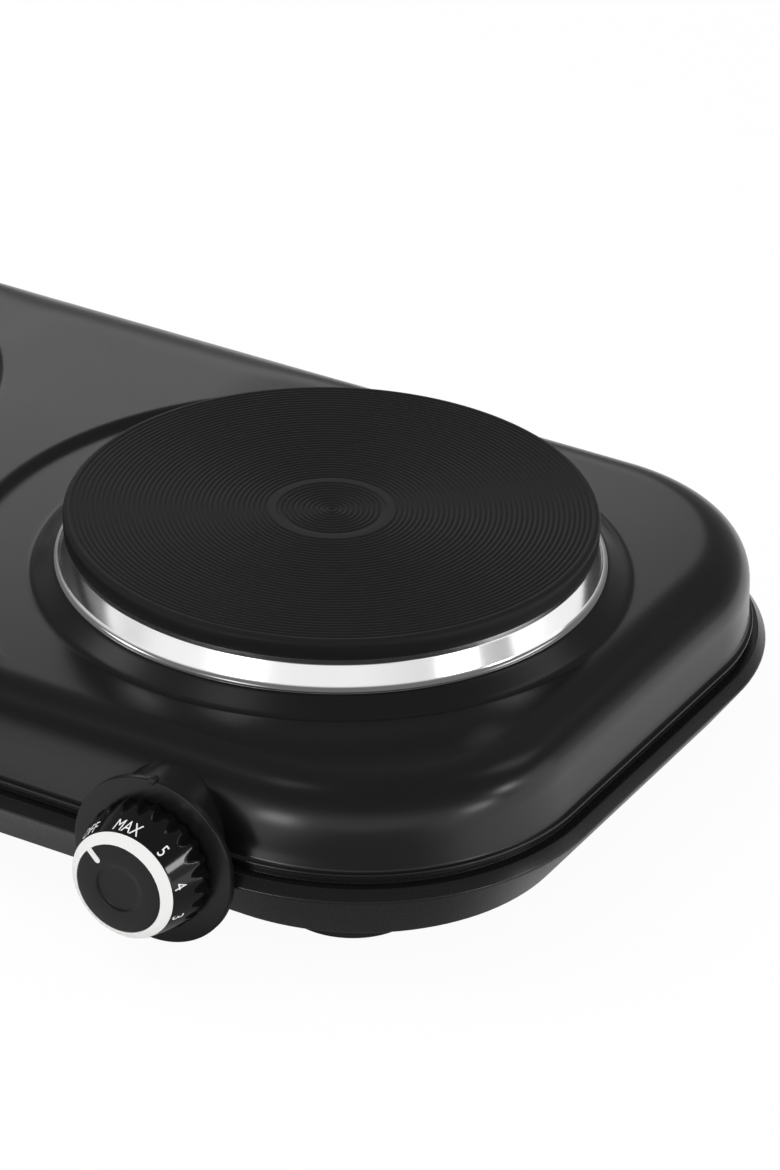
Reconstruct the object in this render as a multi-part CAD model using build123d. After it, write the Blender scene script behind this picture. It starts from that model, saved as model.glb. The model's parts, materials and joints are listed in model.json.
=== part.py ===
from build123d import *
import math
import os

# Double table-top hot plate. Millimetres, +Z up, front at -Y.
# The origin is on the table, under the middle of the bounding box.

# Driving dimensions
PLATE_R = {"right": 92.5, "left": 77.5}   # cast-iron plates, 185 and 155 across
BURNER_SPACING = 272.7                    # between the plate centres
PLATE_TO_RIM = 39.2                       # plate edge to the outermost line of the base rim
BODY_DEPTH = 288.6                        # over the base rim, knobs not counted
TOP_Z = 89.8                              # cooking surface above the table
EDGE_Z = TOP_Z - 0.8                      # edge line of the plates, which other heights start from
KNOB_REACH = 24.1                         # knob face in front of the base rim
KNOB_X = 149.15                           # knob axes, either side of the middle
SHEET = 1.2                               # housing sheet
PAN_WALL = 2.4                            # base pan wall
GAP = 0.2                                 # clearance between neighbouring pieces
FIT = 0.1                                 # radial clearance of screws, threads and bushes
OVERCUT = 1.0                             # how far cutters run past a face

# Heights above the table
FLOOR_Z = EDGE_Z - 78.7                    # underside of the base pan
BELT_Z = EDGE_Z - 59.3                     # outermost line of the rim
RIM_Z = EDGE_Z - 55.6                      # top of the rim, the floor of the seam groove
SEAM_Z = EDGE_Z - 52.6                     # lip of the housing rests here
FOLD_Z = EDGE_Z - 35.0                     # wall upright below, folding in above
DECK_Z = EDGE_Z - 20.2                     # web between the burner wells
WELL_Z = EDGE_Z - 22.9                     # floor of the burner wells
COLLAR_Z = EDGE_Z - 17.5                   # top of the raised collars
KNOB_Z = EDGE_Z - 57.0                     # knob axes
PAN_FLOOR_Z = FLOOR_Z + PAN_WALL          # inside of the pan

# Plan outline: insets are measured inwards from the lip of the housing
RIM_OUTSET = 4.85
RIM_TOP_OUTSET = 2.0
BODY_LENGTH = sum(PLATE_R.values()) + BURNER_SPACING + 2 * PLATE_TO_RIM
LIP_LENGTH = BODY_LENGTH - 2 * RIM_OUTSET
LIP_DEPTH = BODY_DEPTH - 2 * RIM_OUTSET
LIP_CORNER = 84.0
LIP_THICK = 1.2
WALL_INSET = 3.0                          # upright wall behind the lip
WALL_CORNER = 77.5
FOOT_INSET = 1.9                          # wall flares out to this at the lip
FOOT_CORNER = 80.5
FOLD_ACROSS = 30.0                        # elliptical fold: across and down
FOLD_DOWN = DECK_Z - FOLD_Z
CORNER_RATE = 1.3                         # corner radius lost per millimetre of inset
FLOOR_INSET = 8.45
FLOOR_CORNER = 72.0
FLOOR_ROUND = 4.0
BELT_ROUND = 1.0
BELT_CREST = 0.258                        # crest that the rounding of the belt takes off
LIP_ROUND = 0.5
SHOULDER_INSET = 1.5                      # shoulder of the pan under the lip
TONGUE_INSET = 3.8                        # locating wall of the pan inside the housing
TONGUE_WALL = 2.2
TONGUE_RISE = 5.4

# Burner places
BURNER_Y = KNOB_REACH / 2
BURNER_X = {
    "right": BODY_LENGTH / 2 - PLATE_TO_RIM - PLATE_R["right"],
    "left": PLATE_TO_RIM + PLATE_R["left"] - BODY_LENGTH / 2,
}
SIDES = ("right", "left")
KNOB_SIGN = {"right": 1, "left": -1}
REAR = BURNER_Y + BODY_DEPTH / 2
FRONT = BURNER_Y - BODY_DEPTH / 2

# Burner wells and collars, as radii beyond the plate edge
WELL_FLOOR_OUT = 33.3
WELL_EDGE_OUT = 37.3
COLLAR_FOOT_OUT = 11.1
COLLAR_TOP_OUT = 3.3
COLLAR_ROLL = ((3.5, 0.0), (0.9, 0.25), (-1.3, 1.1))   # rolled foot: out from the foot, up from the floor
COLLAR_HOLE_OUT = 2.5                     # hole in the well floor beyond the collar foot
COLLAR_LEAN = 0.55                        # sideways share of the sheet in the collar
OPENING_IN = 5.0                          # opening edge inside the plate edge

# Cooking plates, heights below the edge line
PLATE_EDGE = 1.8                          # rounding of the top edge
PLATE_EDGE_STEPS = 5
PLATE_DRAFT = 0.2
PLATE_SEAT = 6.6                          # underside that sits on the trim ring
SEAT_CHAMFER = 0.4
PLATE_WEB = 9.5
SKIRT_DROP = 19.0
SKIRT_OUT = 6.5
SKIRT_IN = 11.0
HUB_R = 14.0
HUB_DROP = 17.0
CENTRE_R = 18.7                           # sunk middle of the cooking surface
CENTRE_SINK = 0.3
STUD_R = 4.0
STUD_TOP = 6.0
STUD_END = 48.0
BAR_DROP = 36.0
BAR_THICK = 2.5
BAR_WIDTH = 25.0
BAR_END_OUT = 26.0
BAR_BEND_OUT = 14.0
NUT_FLATS = 13.0
NUT_THICK = 6.5
NUT_CROWN = 1.1                           # corners turned off to this share of the flats
ELEMENT_DEPTH = 6.2
COVER_DROP = 16.2
COVER_THICK = 0.8
PIN_R = 1.5
PIN_SPREAD = 7.0
PIN_END = 24.0
BLOCK_Y = 45.0                            # terminal block, behind the plate centre
BLOCK_SIZE = (30.0, 16.0, 11.0)
BLOCK_ROUND = 2.0
PIN_ROOM = 1.5                            # air round the pins in the cover

# Trim rings
RING_SHEET = 0.8
RING_LIP_OUT = 3.0                        # rolled lip beyond the plate edge
RING_LIP_WIDE = 1.2
RING_TOP_IN = 1.3                         # upper bend inside the plate edge
RING_BEND = 1.0
RING_BAND = 2.3                           # upright band under the bend
RING_BELLY = 0.42                         # how far the flare has opened at half its height
RING_ROOT = 1.4                           # root of the lip above the collar
RING_ROLL = 0.75                          # height of the rolled lip
RING_FILLET = 0.2

# Controls: local heights are measured forwards from the bezel face
BEZEL_R = 30.3
BEZEL_THICK = 2.5
BEZEL_EDGE = 0.6
BEZEL_BORE = 3.6
BEZEL_TO_RIM = 3.2
BEZEL_FACE = FRONT - BEZEL_TO_RIM
BOSS_R = 21.5
BOSS_UP = 7.3                             # boss axis above the knob axis
BOSS_WALL = 2.4
BOSS_DEPTH = 24.0
INDEX_R = 1.3
INDEX_UP = 0.5                            # index bump in front of the bezel face
KNOB_BACK = 1.5
KNOB_R = 23.0
KNOB_STRAIGHT = 5.0
KNOB_SEAT = 17.9
KNOB_SEAT_R = 19.5
RING_R = 19.35
RING_FOOT = KNOB_SEAT + 0.3
RING_IN_R = 16.0
KNOB_FACE = KNOB_REACH - BEZEL_TO_RIM
HOLLOW_R = 19.8                           # hollow of the knob, at the back and at its end
HOLLOW_END_R = 17.2
HOLLOW_BEND = 7.0
HOLLOW_END = 14.5
FLUTES = 24
FLUTE_R = 2.6
FLUTE_AXIS_R = 24.4
TICK_ANGLE = 134.0                        # pointer tick, from +X towards +Z
TICK_WIDTH = 1.7
TICK_IN_R = 11.0
TICK_LAP = 0.6                            # how far the tick runs into the ring
CAP_TOP = KNOB_FACE - 0.2
CAP_EDGE = 0.4
DIMPLE_R = 8.3
DIMPLE_DEPTH = 0.9
DIMPLE_WALL = 0.6
KNOB_HUB_R = 6.2
SHAFT_R = 3.0
SHAFT_FLAT = 2.2                          # flat of the D, from the axis
SHAFT_FRONT = 12.5
BORE_END = 13.0
PRESS = 0.03                              # clearance of the knob on the D of the shaft
SHAFT_TAIL = 33.0
RUNNING = 0.05                            # radial clearance of the shaft in its bush
WALL_HOLE_R = 4.2

# Thermostats behind the front wall, depths behind the bezel face
BRACKET_DEPTH = 25.5
BRACKET_SHEET = 1.5
BRACKET_WIDTH = 40.0
BRACKET_RISE = 16.5
BRACKET_FOOT = 24.0
BUSH_R = 5.0
BUSH_NOSE = 19.0
LOCK_FLATS = 14.0
LOCK_THICK = 3.0
THERMOSTAT_SIZE = (36.0, 28.0, 30.0)
THERMOSTAT_ROUND = 3.0
SHAFT_ROOM = 1.5                          # space behind the shaft
BLADE_SIZE = (6.3, 8.0, 0.8)
BLADE_X = 9.0
BLADE_DROP = 8.0
BRACKET_SCREW_X = 12.0
BRACKET_SCREW_Y = 14.0

# Feet, screws and gland
FOOT_X = 191.45
FOOT_Y = 90.0
FOOT_TOP_R = 25.0
FOOT_TREAD_R = 24.4
FOOT_ROUND = 1.5
FOOT_BOSS_R = 7.0
FOOT_BOSS_RISE = 8.0
SCREW_R = 1.5
HEAD_R = 3.6
HEAD_THICK = 2.2
HEAD_SIDE = 0.5                           # upright share of the head
HEAD_CROWN = 0.6                          # flat share of its radius
HEAD_RECESS = 4.0
POST_R = 6.0
TAB_X = 233.0
TAB_Y = 45.0
MID_TAB_INSET = 21.0
TAB_WIDTH = 18.0
TAB_REACH = 7.0
TAB_THICK = 1.5
TAB_Z = SEAM_Z + TONGUE_RISE + 1.0
GLAND_X = -60.0
GLAND_Z = FLOOR_Z + 9.4
GLAND_R = 5.5
GLAND_BORE = 3.75
GLAND_FLANGE_R = 7.5
GLAND_FLANGE = 1.4
PAD_R = 8.6
PAD_FACE = REAR - 1.5
PAD_DEPTH = 16.0
GLAND_EASE = 0.6
GLAND_BARB = 1.5                          # snap barb behind the pad
GLAND_BARB_TIP = 1.0
GLAND_BARB_LONG = 3.0
VENT_SPACING = (48.0, 12.0)
VENT_COUNT = (2, 7)
VENT_SIZE = (36.0, 4.0)
CAVITY_DROP = 6.0                         # where the pan wall starts to lean, below the belt


def outline(inset, corner, z):
    """Rounded plan outline, inset from the lip."""
    plan = RectangleRounded(LIP_LENGTH - 2 * inset, LIP_DEPTH - 2 * inset, corner)
    return Pos(0, BURNER_Y, z) * plan


def turned(points):
    """Solid of revolution about the local Z axis, from (radius, height) points."""
    profile = make_face(Polyline(*[(r, 0, z) for r, z in points], close=True))
    return revolve(profile, Axis.Z)


def rod(radius, low, high):
    """Upright cylinder between two heights."""
    return Pos(0, 0, (low + high) / 2) * Cylinder(radius, high - low)


def slab(size, low):
    """Upright block standing on a given height."""
    return Pos(0, 0, low + size[2] / 2) * Box(*size)


def edges_at(form, z):
    """Level edges of a form at one height."""
    return form.edges().filter_by_position(Axis.Z, z - 0.01, z + 0.01)


def at_burner(side, top=0.0):
    return Pos(BURNER_X[side], BURNER_Y, top)


def at_control(side):
    """Local frame of a control: origin on the bezel face, Z forwards, Y up."""
    origin = (KNOB_SIGN[side] * KNOB_X, BEZEL_FACE, KNOB_Z)
    return Plane(origin=origin, x_dir=(1, 0, 0), z_dir=(0, -1, 0))


def fold_section(angle, depth):
    """Outline of the fold at one place on its elliptical profile."""
    turn = math.radians(angle)
    inset = WALL_INSET + FOLD_ACROSS * (1 - math.sin(turn))
    height = FOLD_Z + FOLD_DOWN * math.cos(turn)
    lean = math.hypot(math.sin(turn) / FOLD_ACROSS, math.cos(turn) / FOLD_DOWN)
    inward = depth * math.sin(turn) / FOLD_ACROSS / lean
    down = depth * math.cos(turn) / FOLD_DOWN / lean
    corner = WALL_CORNER - CORNER_RATE * (inset - WALL_INSET) - inward
    return outline(inset + inward, corner, height - down)


def housing_skin(depth):
    """Outer form of the housing, or the same form at a depth inside it."""
    foot = outline(FOOT_INSET + depth, FOOT_CORNER - depth, SEAM_Z)
    fold = [fold_section(angle, depth) for angle in (90, 75, 60, 45, 30, 15, 0)]
    return loft([foot, fold[0]], ruled=True) + loft(fold)


def well(side, depth):
    """Space of a dished burner well, or the same space one sheet thickness outside it."""
    slope = (WELL_EDGE_OUT - WELL_FLOOR_OUT) / (DECK_Z - WELL_Z)
    rise = FOLD_DOWN / 2
    floor_r = PLATE_R[side] + WELL_FLOOR_OUT + depth / 2
    low = WELL_Z - depth
    points = [(0, low), (floor_r, low), (floor_r + slope * rise, low + rise), (0, low + rise)]
    return at_burner(side) * turned(points)


def collar(side):
    """Raised conical collar that carries the trim ring, with its rolled foot."""
    foot = PLATE_R[side] + COLLAR_FOOT_OUT
    top = PLATE_R[side] + COLLAR_TOP_OUT
    opening = PLATE_R[side] - OPENING_IN
    lean = SHEET * COLLAR_LEAN
    outer = [(foot + out, WELL_Z + up) for out, up in COLLAR_ROLL] + [(top, COLLAR_Z)]
    inner = [(r - lean, z - SHEET) for r, z in reversed(outer)]
    inner[-1] = (outer[0][0], WELL_Z - SHEET)
    edge = [(opening, COLLAR_Z), (opening, COLLAR_Z - SHEET)]
    return at_burner(side) * turned(outer + edge + inner)


def tab_places():
    """Screw tabs of the housing: (x, y, direction to the wall)."""
    mid = LIP_DEPTH / 2 - MID_TAB_INSET
    ends = [(sx * TAB_X, BURNER_Y + sy * TAB_Y, (sx, 0)) for sx in (1, -1) for sy in (1, -1)]
    return ends + [(0, BURNER_Y + sy * mid, (0, sy)) for sy in (1, -1)]


def tabs():
    """Sheet tabs inside the wall that take the base screws."""
    pieces = []
    for x, y, (dx, dy) in tab_places():
        to_lip = LIP_LENGTH / 2 - abs(x) if dx else LIP_DEPTH / 2 - abs(y - BURNER_Y)
        length = to_lip - WALL_INSET + TAB_REACH
        middle = length / 2 - TAB_REACH
        size = (length, TAB_WIDTH, TAB_THICK) if dx else (TAB_WIDTH, length, TAB_THICK)
        tab = Pos(x + dx * middle, y + dy * middle, 0) * slab(size, TAB_Z)
        pieces.append(tab - Pos(x, y, 0) * rod(SCREW_R + FIT, TAB_Z - OVERCUT, TAB_Z + TAB_THICK + OVERCUT))
    return pieces


def lip():
    """Out-turned lip with rounded outer edges."""
    plate = extrude(outline(0, LIP_CORNER, SEAM_Z), LIP_THICK)
    plate = fillet(edges_at(plate, SEAM_Z) + edges_at(plate, SEAM_Z + LIP_THICK), LIP_ROUND)
    inner = outline(FOOT_INSET + SHEET, FOOT_CORNER - SHEET, SEAM_Z - 1)
    return plate - extrude(inner, LIP_THICK + 2)


def upper_housing():
    shell = housing_skin(0)
    inside = housing_skin(SHEET)
    for side in SIDES:
        shell -= well(side, 0)
        inside -= well(side, SHEET)
    shell -= inside
    for side in SIDES:
        hole = rod(PLATE_R[side] + COLLAR_FOOT_OUT + COLLAR_HOLE_OUT, FOLD_Z, EDGE_Z)
        shell -= at_burner(side) * hole
        shell += collar(side)
    shell += lip()
    for tab in tabs():
        shell += tab
    return shell


def pan_form(grow):
    """Outer form of the base pan, up to the shoulder under the lip."""
    floor = outline(FLOOR_INSET - grow, FLOOR_CORNER + grow, FLOOR_Z - grow)
    crest = RIM_OUTSET + BELT_CREST + grow
    belt = outline(-crest, LIP_CORNER + crest, BELT_Z)
    rim = outline(-RIM_TOP_OUTSET - grow, LIP_CORNER + RIM_TOP_OUTSET + grow, RIM_Z + grow)
    shoulder = outline(SHOULDER_INSET - grow, LIP_CORNER - SHOULDER_INSET + grow, RIM_Z)
    form = loft([floor, belt], ruled=True) + loft([belt, rim], ruled=True)
    return form + extrude(shoulder, SEAM_Z - RIM_Z)


def pan_cavity():
    inner = TONGUE_INSET + TONGUE_WALL
    high_z = BELT_Z - CAVITY_DROP
    low = outline(FLOOR_INSET + PAN_WALL, FLOOR_CORNER - PAN_WALL, PAN_FLOOR_Z)
    high = outline(inner, LIP_CORNER - inner, high_z)
    return loft([low, high], ruled=True) + extrude(high, TAB_Z - high_z)


def tongue():
    inner = TONGUE_INSET + TONGUE_WALL
    ring = outline(TONGUE_INSET, LIP_CORNER - TONGUE_INSET, RIM_Z) - outline(inner, LIP_CORNER - inner, RIM_Z)
    return extrude(ring, SEAM_Z + TONGUE_RISE - RIM_Z)


def foot_places():
    return {
        "front_right_foot": (FOOT_X, BURNER_Y - FOOT_Y),
        "front_left_foot": (-FOOT_X, BURNER_Y - FOOT_Y),
        "rear_right_foot": (FOOT_X, BURNER_Y + FOOT_Y),
        "rear_left_foot": (-FOOT_X, BURNER_Y + FOOT_Y),
    }


def bracket_screw_places():
    y = BEZEL_FACE + BRACKET_DEPTH + BRACKET_SCREW_Y
    return [(KNOB_SIGN[s] * KNOB_X + dx * BRACKET_SCREW_X, y) for s in SIDES for dx in (1, -1)]


def vents(side):
    """Rows of slots in the pan floor under a burner."""
    place = at_burner(side, FLOOR_Z - OVERCUT)
    depth = PAN_WALL + 2 * OVERCUT
    rows = GridLocations(*VENT_SPACING, *VENT_COUNT)
    return [place * extrude(row * SlotOverall(*VENT_SIZE), depth) for row in rows]


def base_pan():
    form = pan_form(0)
    form = fillet(edges_at(form, FLOOR_Z), FLOOR_ROUND)
    form = fillet(edges_at(form, BELT_Z), BELT_ROUND)
    pan = form - pan_cavity() + tongue()
    for x, y, _ in tab_places():
        pan += Pos(x, y, 0) * rod(POST_R, FLOOR_Z + 1, TAB_Z)
        pan -= Pos(x, y, 0) * rod(SCREW_R + FIT, FLOOR_Z - OVERCUT, TAB_Z + OVERCUT)
        pan -= Pos(x, y, 0) * rod(HEAD_R + GAP, FLOOR_Z - OVERCUT, FLOOR_Z + HEAD_RECESS)
    for x, y in foot_places().values():
        pan += Pos(x, y, 0) * rod(FOOT_BOSS_R, FLOOR_Z + 1, PAN_FLOOR_Z + FOOT_BOSS_RISE)
        pan -= Pos(x, y, 0) * rod(SCREW_R + FIT, FLOOR_Z - OVERCUT, PAN_FLOOR_Z + FOOT_BOSS_RISE + OVERCUT)
    for x, y in bracket_screw_places():
        pan -= Pos(x, y, 0) * rod(SCREW_R + FIT, FLOOR_Z - OVERCUT, PAN_FLOOR_Z + OVERCUT)
    for side in SIDES:
        pan -= at_control(side) * rod(WALL_HOLE_R, -BRACKET_DEPTH, 0)
        for slot in vents(side):
            pan -= slot
    pad = Plane(origin=(GLAND_X, PAD_FACE, GLAND_Z), z_dir=(0, 1, 0))
    pan += pad * rod(PAD_R, -PAD_DEPTH, 0)
    return pan - pad * rod(GLAND_R + FIT, -PAD_DEPTH - OVERCUT, OVERCUT)


def cord_gland():
    """Flanged bushing in the rear wall where the supply cord comes in."""
    shoulder, barb, tip = GLAND_FLANGE - GLAND_EASE, -PAD_DEPTH - FIT, -PAD_DEPTH - GLAND_BARB_LONG
    points = [(GLAND_BORE, shoulder), (GLAND_BORE + GLAND_EASE, GLAND_FLANGE)]
    points += [(GLAND_FLANGE_R - GLAND_EASE, GLAND_FLANGE), (GLAND_FLANGE_R, shoulder), (GLAND_FLANGE_R, FIT)]
    points += [(GLAND_R, FIT), (GLAND_R, barb), (GLAND_R + GLAND_BARB, barb)]
    points += [(GLAND_R + GLAND_BARB_TIP, tip), (GLAND_BORE, tip)]
    return Plane(origin=(GLAND_X, PAD_FACE, GLAND_Z), z_dir=(0, 1, 0)) * turned(points)


def plate(side):
    """Cast plate: sunk middle, seat on the trim ring, skirt round the element, stud hub."""
    r = PLATE_R[side]
    wall_foot = PLATE_SEAT - SEAT_CHAMFER
    crown = TOP_Z - EDGE_Z
    turns = [math.pi / 2 * step / PLATE_EDGE_STEPS for step in range(PLATE_EDGE_STEPS + 1)]
    edge = [(r - PLATE_EDGE * (1 - math.sin(a)), crown - PLATE_EDGE * (1 - math.cos(a))) for a in turns]
    sunk = crown - CENTRE_SINK
    points = [(0, sunk), (CENTRE_R, sunk), (CENTRE_R + CENTRE_SINK, crown)] + edge
    points += [(r - PLATE_DRAFT, -wall_foot), (r - PLATE_DRAFT - SEAT_CHAMFER, -PLATE_SEAT)]
    points += [(r - SKIRT_OUT, -PLATE_SEAT), (r - SKIRT_OUT, -SKIRT_DROP), (r - SKIRT_IN, -SKIRT_DROP)]
    points += [(r - SKIRT_IN, -PLATE_WEB), (HUB_R, -PLATE_WEB), (HUB_R, -HUB_DROP)]
    points += [(STUD_R + FIT, -HUB_DROP), (STUD_R + FIT, -STUD_TOP), (0, -STUD_TOP)]
    return at_burner(side, EDGE_Z) * turned(points)


def trim_ring(side):
    """Flared chromed band: flange under the plate, curved wall and rolled lip on the collar."""
    r = PLATE_R[side]
    bottom = COLLAR_Z - EDGE_Z
    top_r, lip_r = r - RING_TOP_IN, r + RING_LIP_OUT
    foot_r = lip_r - RING_LIP_WIDE
    bend, band = -PLATE_SEAT - RING_BEND, -PLATE_SEAT - RING_BAND
    root_r, root = foot_r - RING_FILLET, bottom + RING_ROOT
    belly = (top_r + RING_BELLY * (root_r - top_r), (band + root) / 2)
    roll = bottom + RING_ROLL
    outer = [(r - SKIRT_OUT + GAP, -PLATE_SEAT), (top_r - RING_BEND, -PLATE_SEAT)]
    outer += [(top_r - RING_BEND * 0.3, -PLATE_SEAT - RING_BEND * 0.3), (top_r, bend), (top_r, band), belly]
    outer += [(root_r, root), (foot_r + RING_FILLET, roll + RING_FILLET), (lip_r - RING_FILLET, roll)]
    outer += [(lip_r, roll - RING_FILLET), (lip_r, bottom)]
    inner = [(root_r - RING_FILLET, bottom), (root_r - RING_SHEET, bottom + RING_ROOT / 2)]
    inner += [(belly[0] - RING_SHEET, belly[1] - RING_FILLET), (top_r - RING_SHEET, band)]
    inner += [(top_r - RING_SHEET, bend - RING_FILLET), (r - SKIRT_OUT + GAP, -PLATE_SEAT - RING_SHEET)]
    return at_burner(side, EDGE_Z) * turned(outer + inner)


def pin_places():
    return [(dx * PIN_SPREAD, BLOCK_Y) for dx in (1, -1)]


def element(side):
    """Heating winding in its bed of insulating compound, with two terminal pins."""
    outer_r = PLATE_R[side] - SKIRT_IN - GAP
    low, high = -PLATE_WEB - GAP - ELEMENT_DEPTH, -PLATE_WEB - GAP
    bed = rod(outer_r, low, high) - rod(HUB_R + GAP, low - OVERCUT, high + OVERCUT)
    for x, y in pin_places():
        bed += Pos(x, y, 0) * rod(PIN_R, -PIN_END, low)
    return at_burner(side, EDGE_Z) * bed


def plate_cover(side):
    """Sheet disc that closes the plate underneath."""
    low, high = -COVER_DROP - COVER_THICK, -COVER_DROP
    disc = rod(PLATE_R[side] - SKIRT_IN - GAP, low, high) - rod(HUB_R + GAP, low - OVERCUT, high + OVERCUT)
    for x, y in pin_places():
        disc -= Pos(x, y, 0) * rod(PIN_R + PIN_ROOM, low - OVERCUT, high + OVERCUT)
    return at_burner(side, EDGE_Z) * disc


def terminal_block(side):
    """Ceramic block under the cover that takes the element pins."""
    top = -COVER_DROP - COVER_THICK
    block = Pos(0, BLOCK_Y, 0) * slab(BLOCK_SIZE, top - BLOCK_SIZE[2])
    block = fillet(block.edges().filter_by(Axis.Z), BLOCK_ROUND)
    for x, y in pin_places():
        block -= Pos(x, y, 0) * rod(PIN_R + FIT, top - BLOCK_SIZE[2] - OVERCUT, top + OVERCUT)
    return at_burner(side, EDGE_Z) * block


def plate_stud(side):
    return at_burner(side, EDGE_Z) * rod(STUD_R, -STUD_END, -STUD_TOP - GAP)


def clamp_bar(side):
    """Joggled strap: its ends bear under the well floor, the stud pulls on its middle."""
    r = PLATE_R[side]
    end_z = WELL_Z - EDGE_Z - SHEET
    slope = BAR_DROP + end_z
    upper = [(-r - BAR_END_OUT, end_z), (-r - BAR_BEND_OUT, end_z), (-r - BAR_BEND_OUT + slope, -BAR_DROP)]
    upper += [(-y, z) for y, z in reversed(upper)]
    lower = [(y, z - BAR_THICK) for y, z in reversed(upper)]
    profile = make_face(Polyline(*[(0, y, z) for y, z in upper + lower], close=True))
    bar = extrude(profile, BAR_WIDTH / 2, both=True)
    bar -= rod(STUD_R + GAP + FIT, -BAR_DROP - BAR_THICK - OVERCUT, -BAR_DROP + OVERCUT)
    return at_burner(side, EDGE_Z) * bar


def hex_nut(flats, thick, bore):
    """Hexagon nut with its chamfered corners, standing on zero."""
    prism = extrude(RegularPolygon(flats / 2, 6, major_radius=False), thick)
    crown = Pos(0, 0, thick / 2) * Cylinder(flats / 2 * NUT_CROWN, thick)
    return (prism & crown) - rod(bore, -OVERCUT, thick + OVERCUT)


def clamp_nuts():
    low = EDGE_Z - BAR_DROP - BAR_THICK - NUT_THICK
    return [at_burner(side, low) * hex_nut(NUT_FLATS, NUT_THICK, STUD_R + FIT) for side in SIDES]


def thermostat(side):
    """Switch body with its threaded bush and two terminal blades."""
    back = BRACKET_DEPTH + BRACKET_SHEET
    width, depth, height = THERMOSTAT_SIZE
    body = Pos(0, 0, -back - depth / 2) * Box(width, height, depth)
    body = fillet(body.edges().filter_by(Axis.Z), THERMOSTAT_ROUND)
    body += rod(BUSH_R, -back, -BUSH_NOSE)
    body -= rod(SHAFT_R + RUNNING, -SHAFT_TAIL - SHAFT_ROOM, 0)
    blade_w, blade_l, blade_t = BLADE_SIZE
    for x in (-BLADE_X, BLADE_X):
        body += Pos(x, -BLADE_DROP, -back - depth - blade_l / 2) * Box(blade_w, blade_t, blade_l)
    return at_control(side) * body


def thermostat_bracket(side):
    """Bent sheet bracket that holds the thermostat behind the front wall."""
    low = PAN_FLOOR_Z - KNOB_Z
    plate_h = BRACKET_RISE - low
    middle = Pos(0, low + plate_h / 2, -BRACKET_DEPTH - BRACKET_SHEET / 2)
    upright = middle * Box(BRACKET_WIDTH, plate_h, BRACKET_SHEET)
    upright -= rod(BUSH_R + FIT, -BRACKET_DEPTH - BRACKET_SHEET - OVERCUT, -BRACKET_DEPTH + OVERCUT)
    foot = Pos(0, low + BRACKET_SHEET / 2, -BRACKET_DEPTH - BRACKET_FOOT / 2)
    bracket = at_control(side) * (upright + foot * Box(BRACKET_WIDTH, BRACKET_SHEET, BRACKET_FOOT))
    for x, y in bracket_screw_places():
        hole = rod(SCREW_R + FIT, PAN_FLOOR_Z - OVERCUT, PAN_FLOOR_Z + BRACKET_SHEET + OVERCUT)
        bracket -= Pos(x, y, 0) * hole
    return bracket


def thermostat_nuts():
    nut = Pos(0, 0, -BRACKET_DEPTH) * hex_nut(LOCK_FLATS, LOCK_THICK, BUSH_R + FIT)
    return [at_control(side) * nut for side in SIDES]


def pan_head_screw(head_z, tip_z):
    """Domed screw: its head rests on one height and its shank runs to another."""
    out = math.copysign(1, head_z - tip_z)
    low, high = sorted((tip_z, head_z))
    side_h, dome_h = head_z + out * HEAD_THICK * HEAD_SIDE, head_z + out * HEAD_THICK
    points = [(0, head_z), (HEAD_R, head_z), (HEAD_R, side_h), (HEAD_R * HEAD_CROWN, dome_h), (0, dome_h)]
    return turned(points) + rod(SCREW_R, low, high)


def bracket_screws():
    screw = pan_head_screw(PAN_FLOOR_Z + BRACKET_SHEET, FLOOR_Z)
    return [Pos(x, y, 0) * screw for x, y in bracket_screw_places()]


def base_screws():
    screw = pan_head_screw(FLOOR_Z + HEAD_RECESS, TAB_Z + TAB_THICK + 2)
    return [Pos(x, y, 0) * screw for x, y, _ in tab_places()]


def foot_screws():
    screw = pan_head_screw(FLOOR_Z - HEAD_RECESS, PAN_FLOOR_Z + FOOT_BOSS_RISE - 1)
    return [Pos(x, y, 0) * screw for x, y in foot_places().values()]


def foot(name):
    """Round foot with a rounded tread edge and a recess for its screw."""
    x, y = foot_places()[name]
    seat = FLOOR_Z - HEAD_RECESS
    recess_r = HEAD_R + 1.0
    arc = [(FOOT_TREAD_R - FOOT_ROUND * (1 - math.cos(a)), FOOT_ROUND * (1 - math.sin(a)))
           for a in (math.pi / 2, math.pi / 3, math.pi / 6, 0)]
    points = [(recess_r, 0)] + arc + [(FOOT_TOP_R, FLOOR_Z), (SCREW_R + 0.2, FLOOR_Z), (SCREW_R + 0.2, seat)]
    return Pos(x, y, 0) * turned(points + [(recess_r, seat)])


def shaft(side):
    """Control shaft with a D-shaped front end."""
    bar = rod(SHAFT_R, -SHAFT_TAIL, SHAFT_FRONT)
    flat = Pos(0, SHAFT_FLAT + SHAFT_R, SHAFT_FRONT / 2) * Box(2 * SHAFT_R, 2 * SHAFT_R, SHAFT_FRONT)
    return at_control(side) * (bar - flat)


def knob(side):
    """Tapered hollow knob, scalloped at the back, with a D-bored hub."""
    skirt = [(0, KNOB_SEAT), (KNOB_SEAT_R, KNOB_SEAT), (KNOB_R, KNOB_STRAIGHT), (KNOB_R, KNOB_BACK)]
    hollow = [(HOLLOW_R, KNOB_BACK), (HOLLOW_R, HOLLOW_BEND), (HOLLOW_END_R, HOLLOW_END)]
    hub = [(KNOB_HUB_R, HOLLOW_END), (KNOB_HUB_R, KNOB_BACK), (0, KNOB_BACK)]
    body = turned(skirt + hollow + hub)
    for place in PolarLocations(FLUTE_AXIS_R, FLUTES):
        body -= place * rod(FLUTE_R, 0, KNOB_SEAT)
    bore = rod(SHAFT_R + PRESS, 0, BORE_END)
    bore -= Pos(0, SHAFT_FLAT + PRESS + SHAFT_R, BORE_END / 2) * Box(3 * SHAFT_R, 2 * SHAFT_R, BORE_END)
    return at_control(side) * (body - bore)


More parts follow.
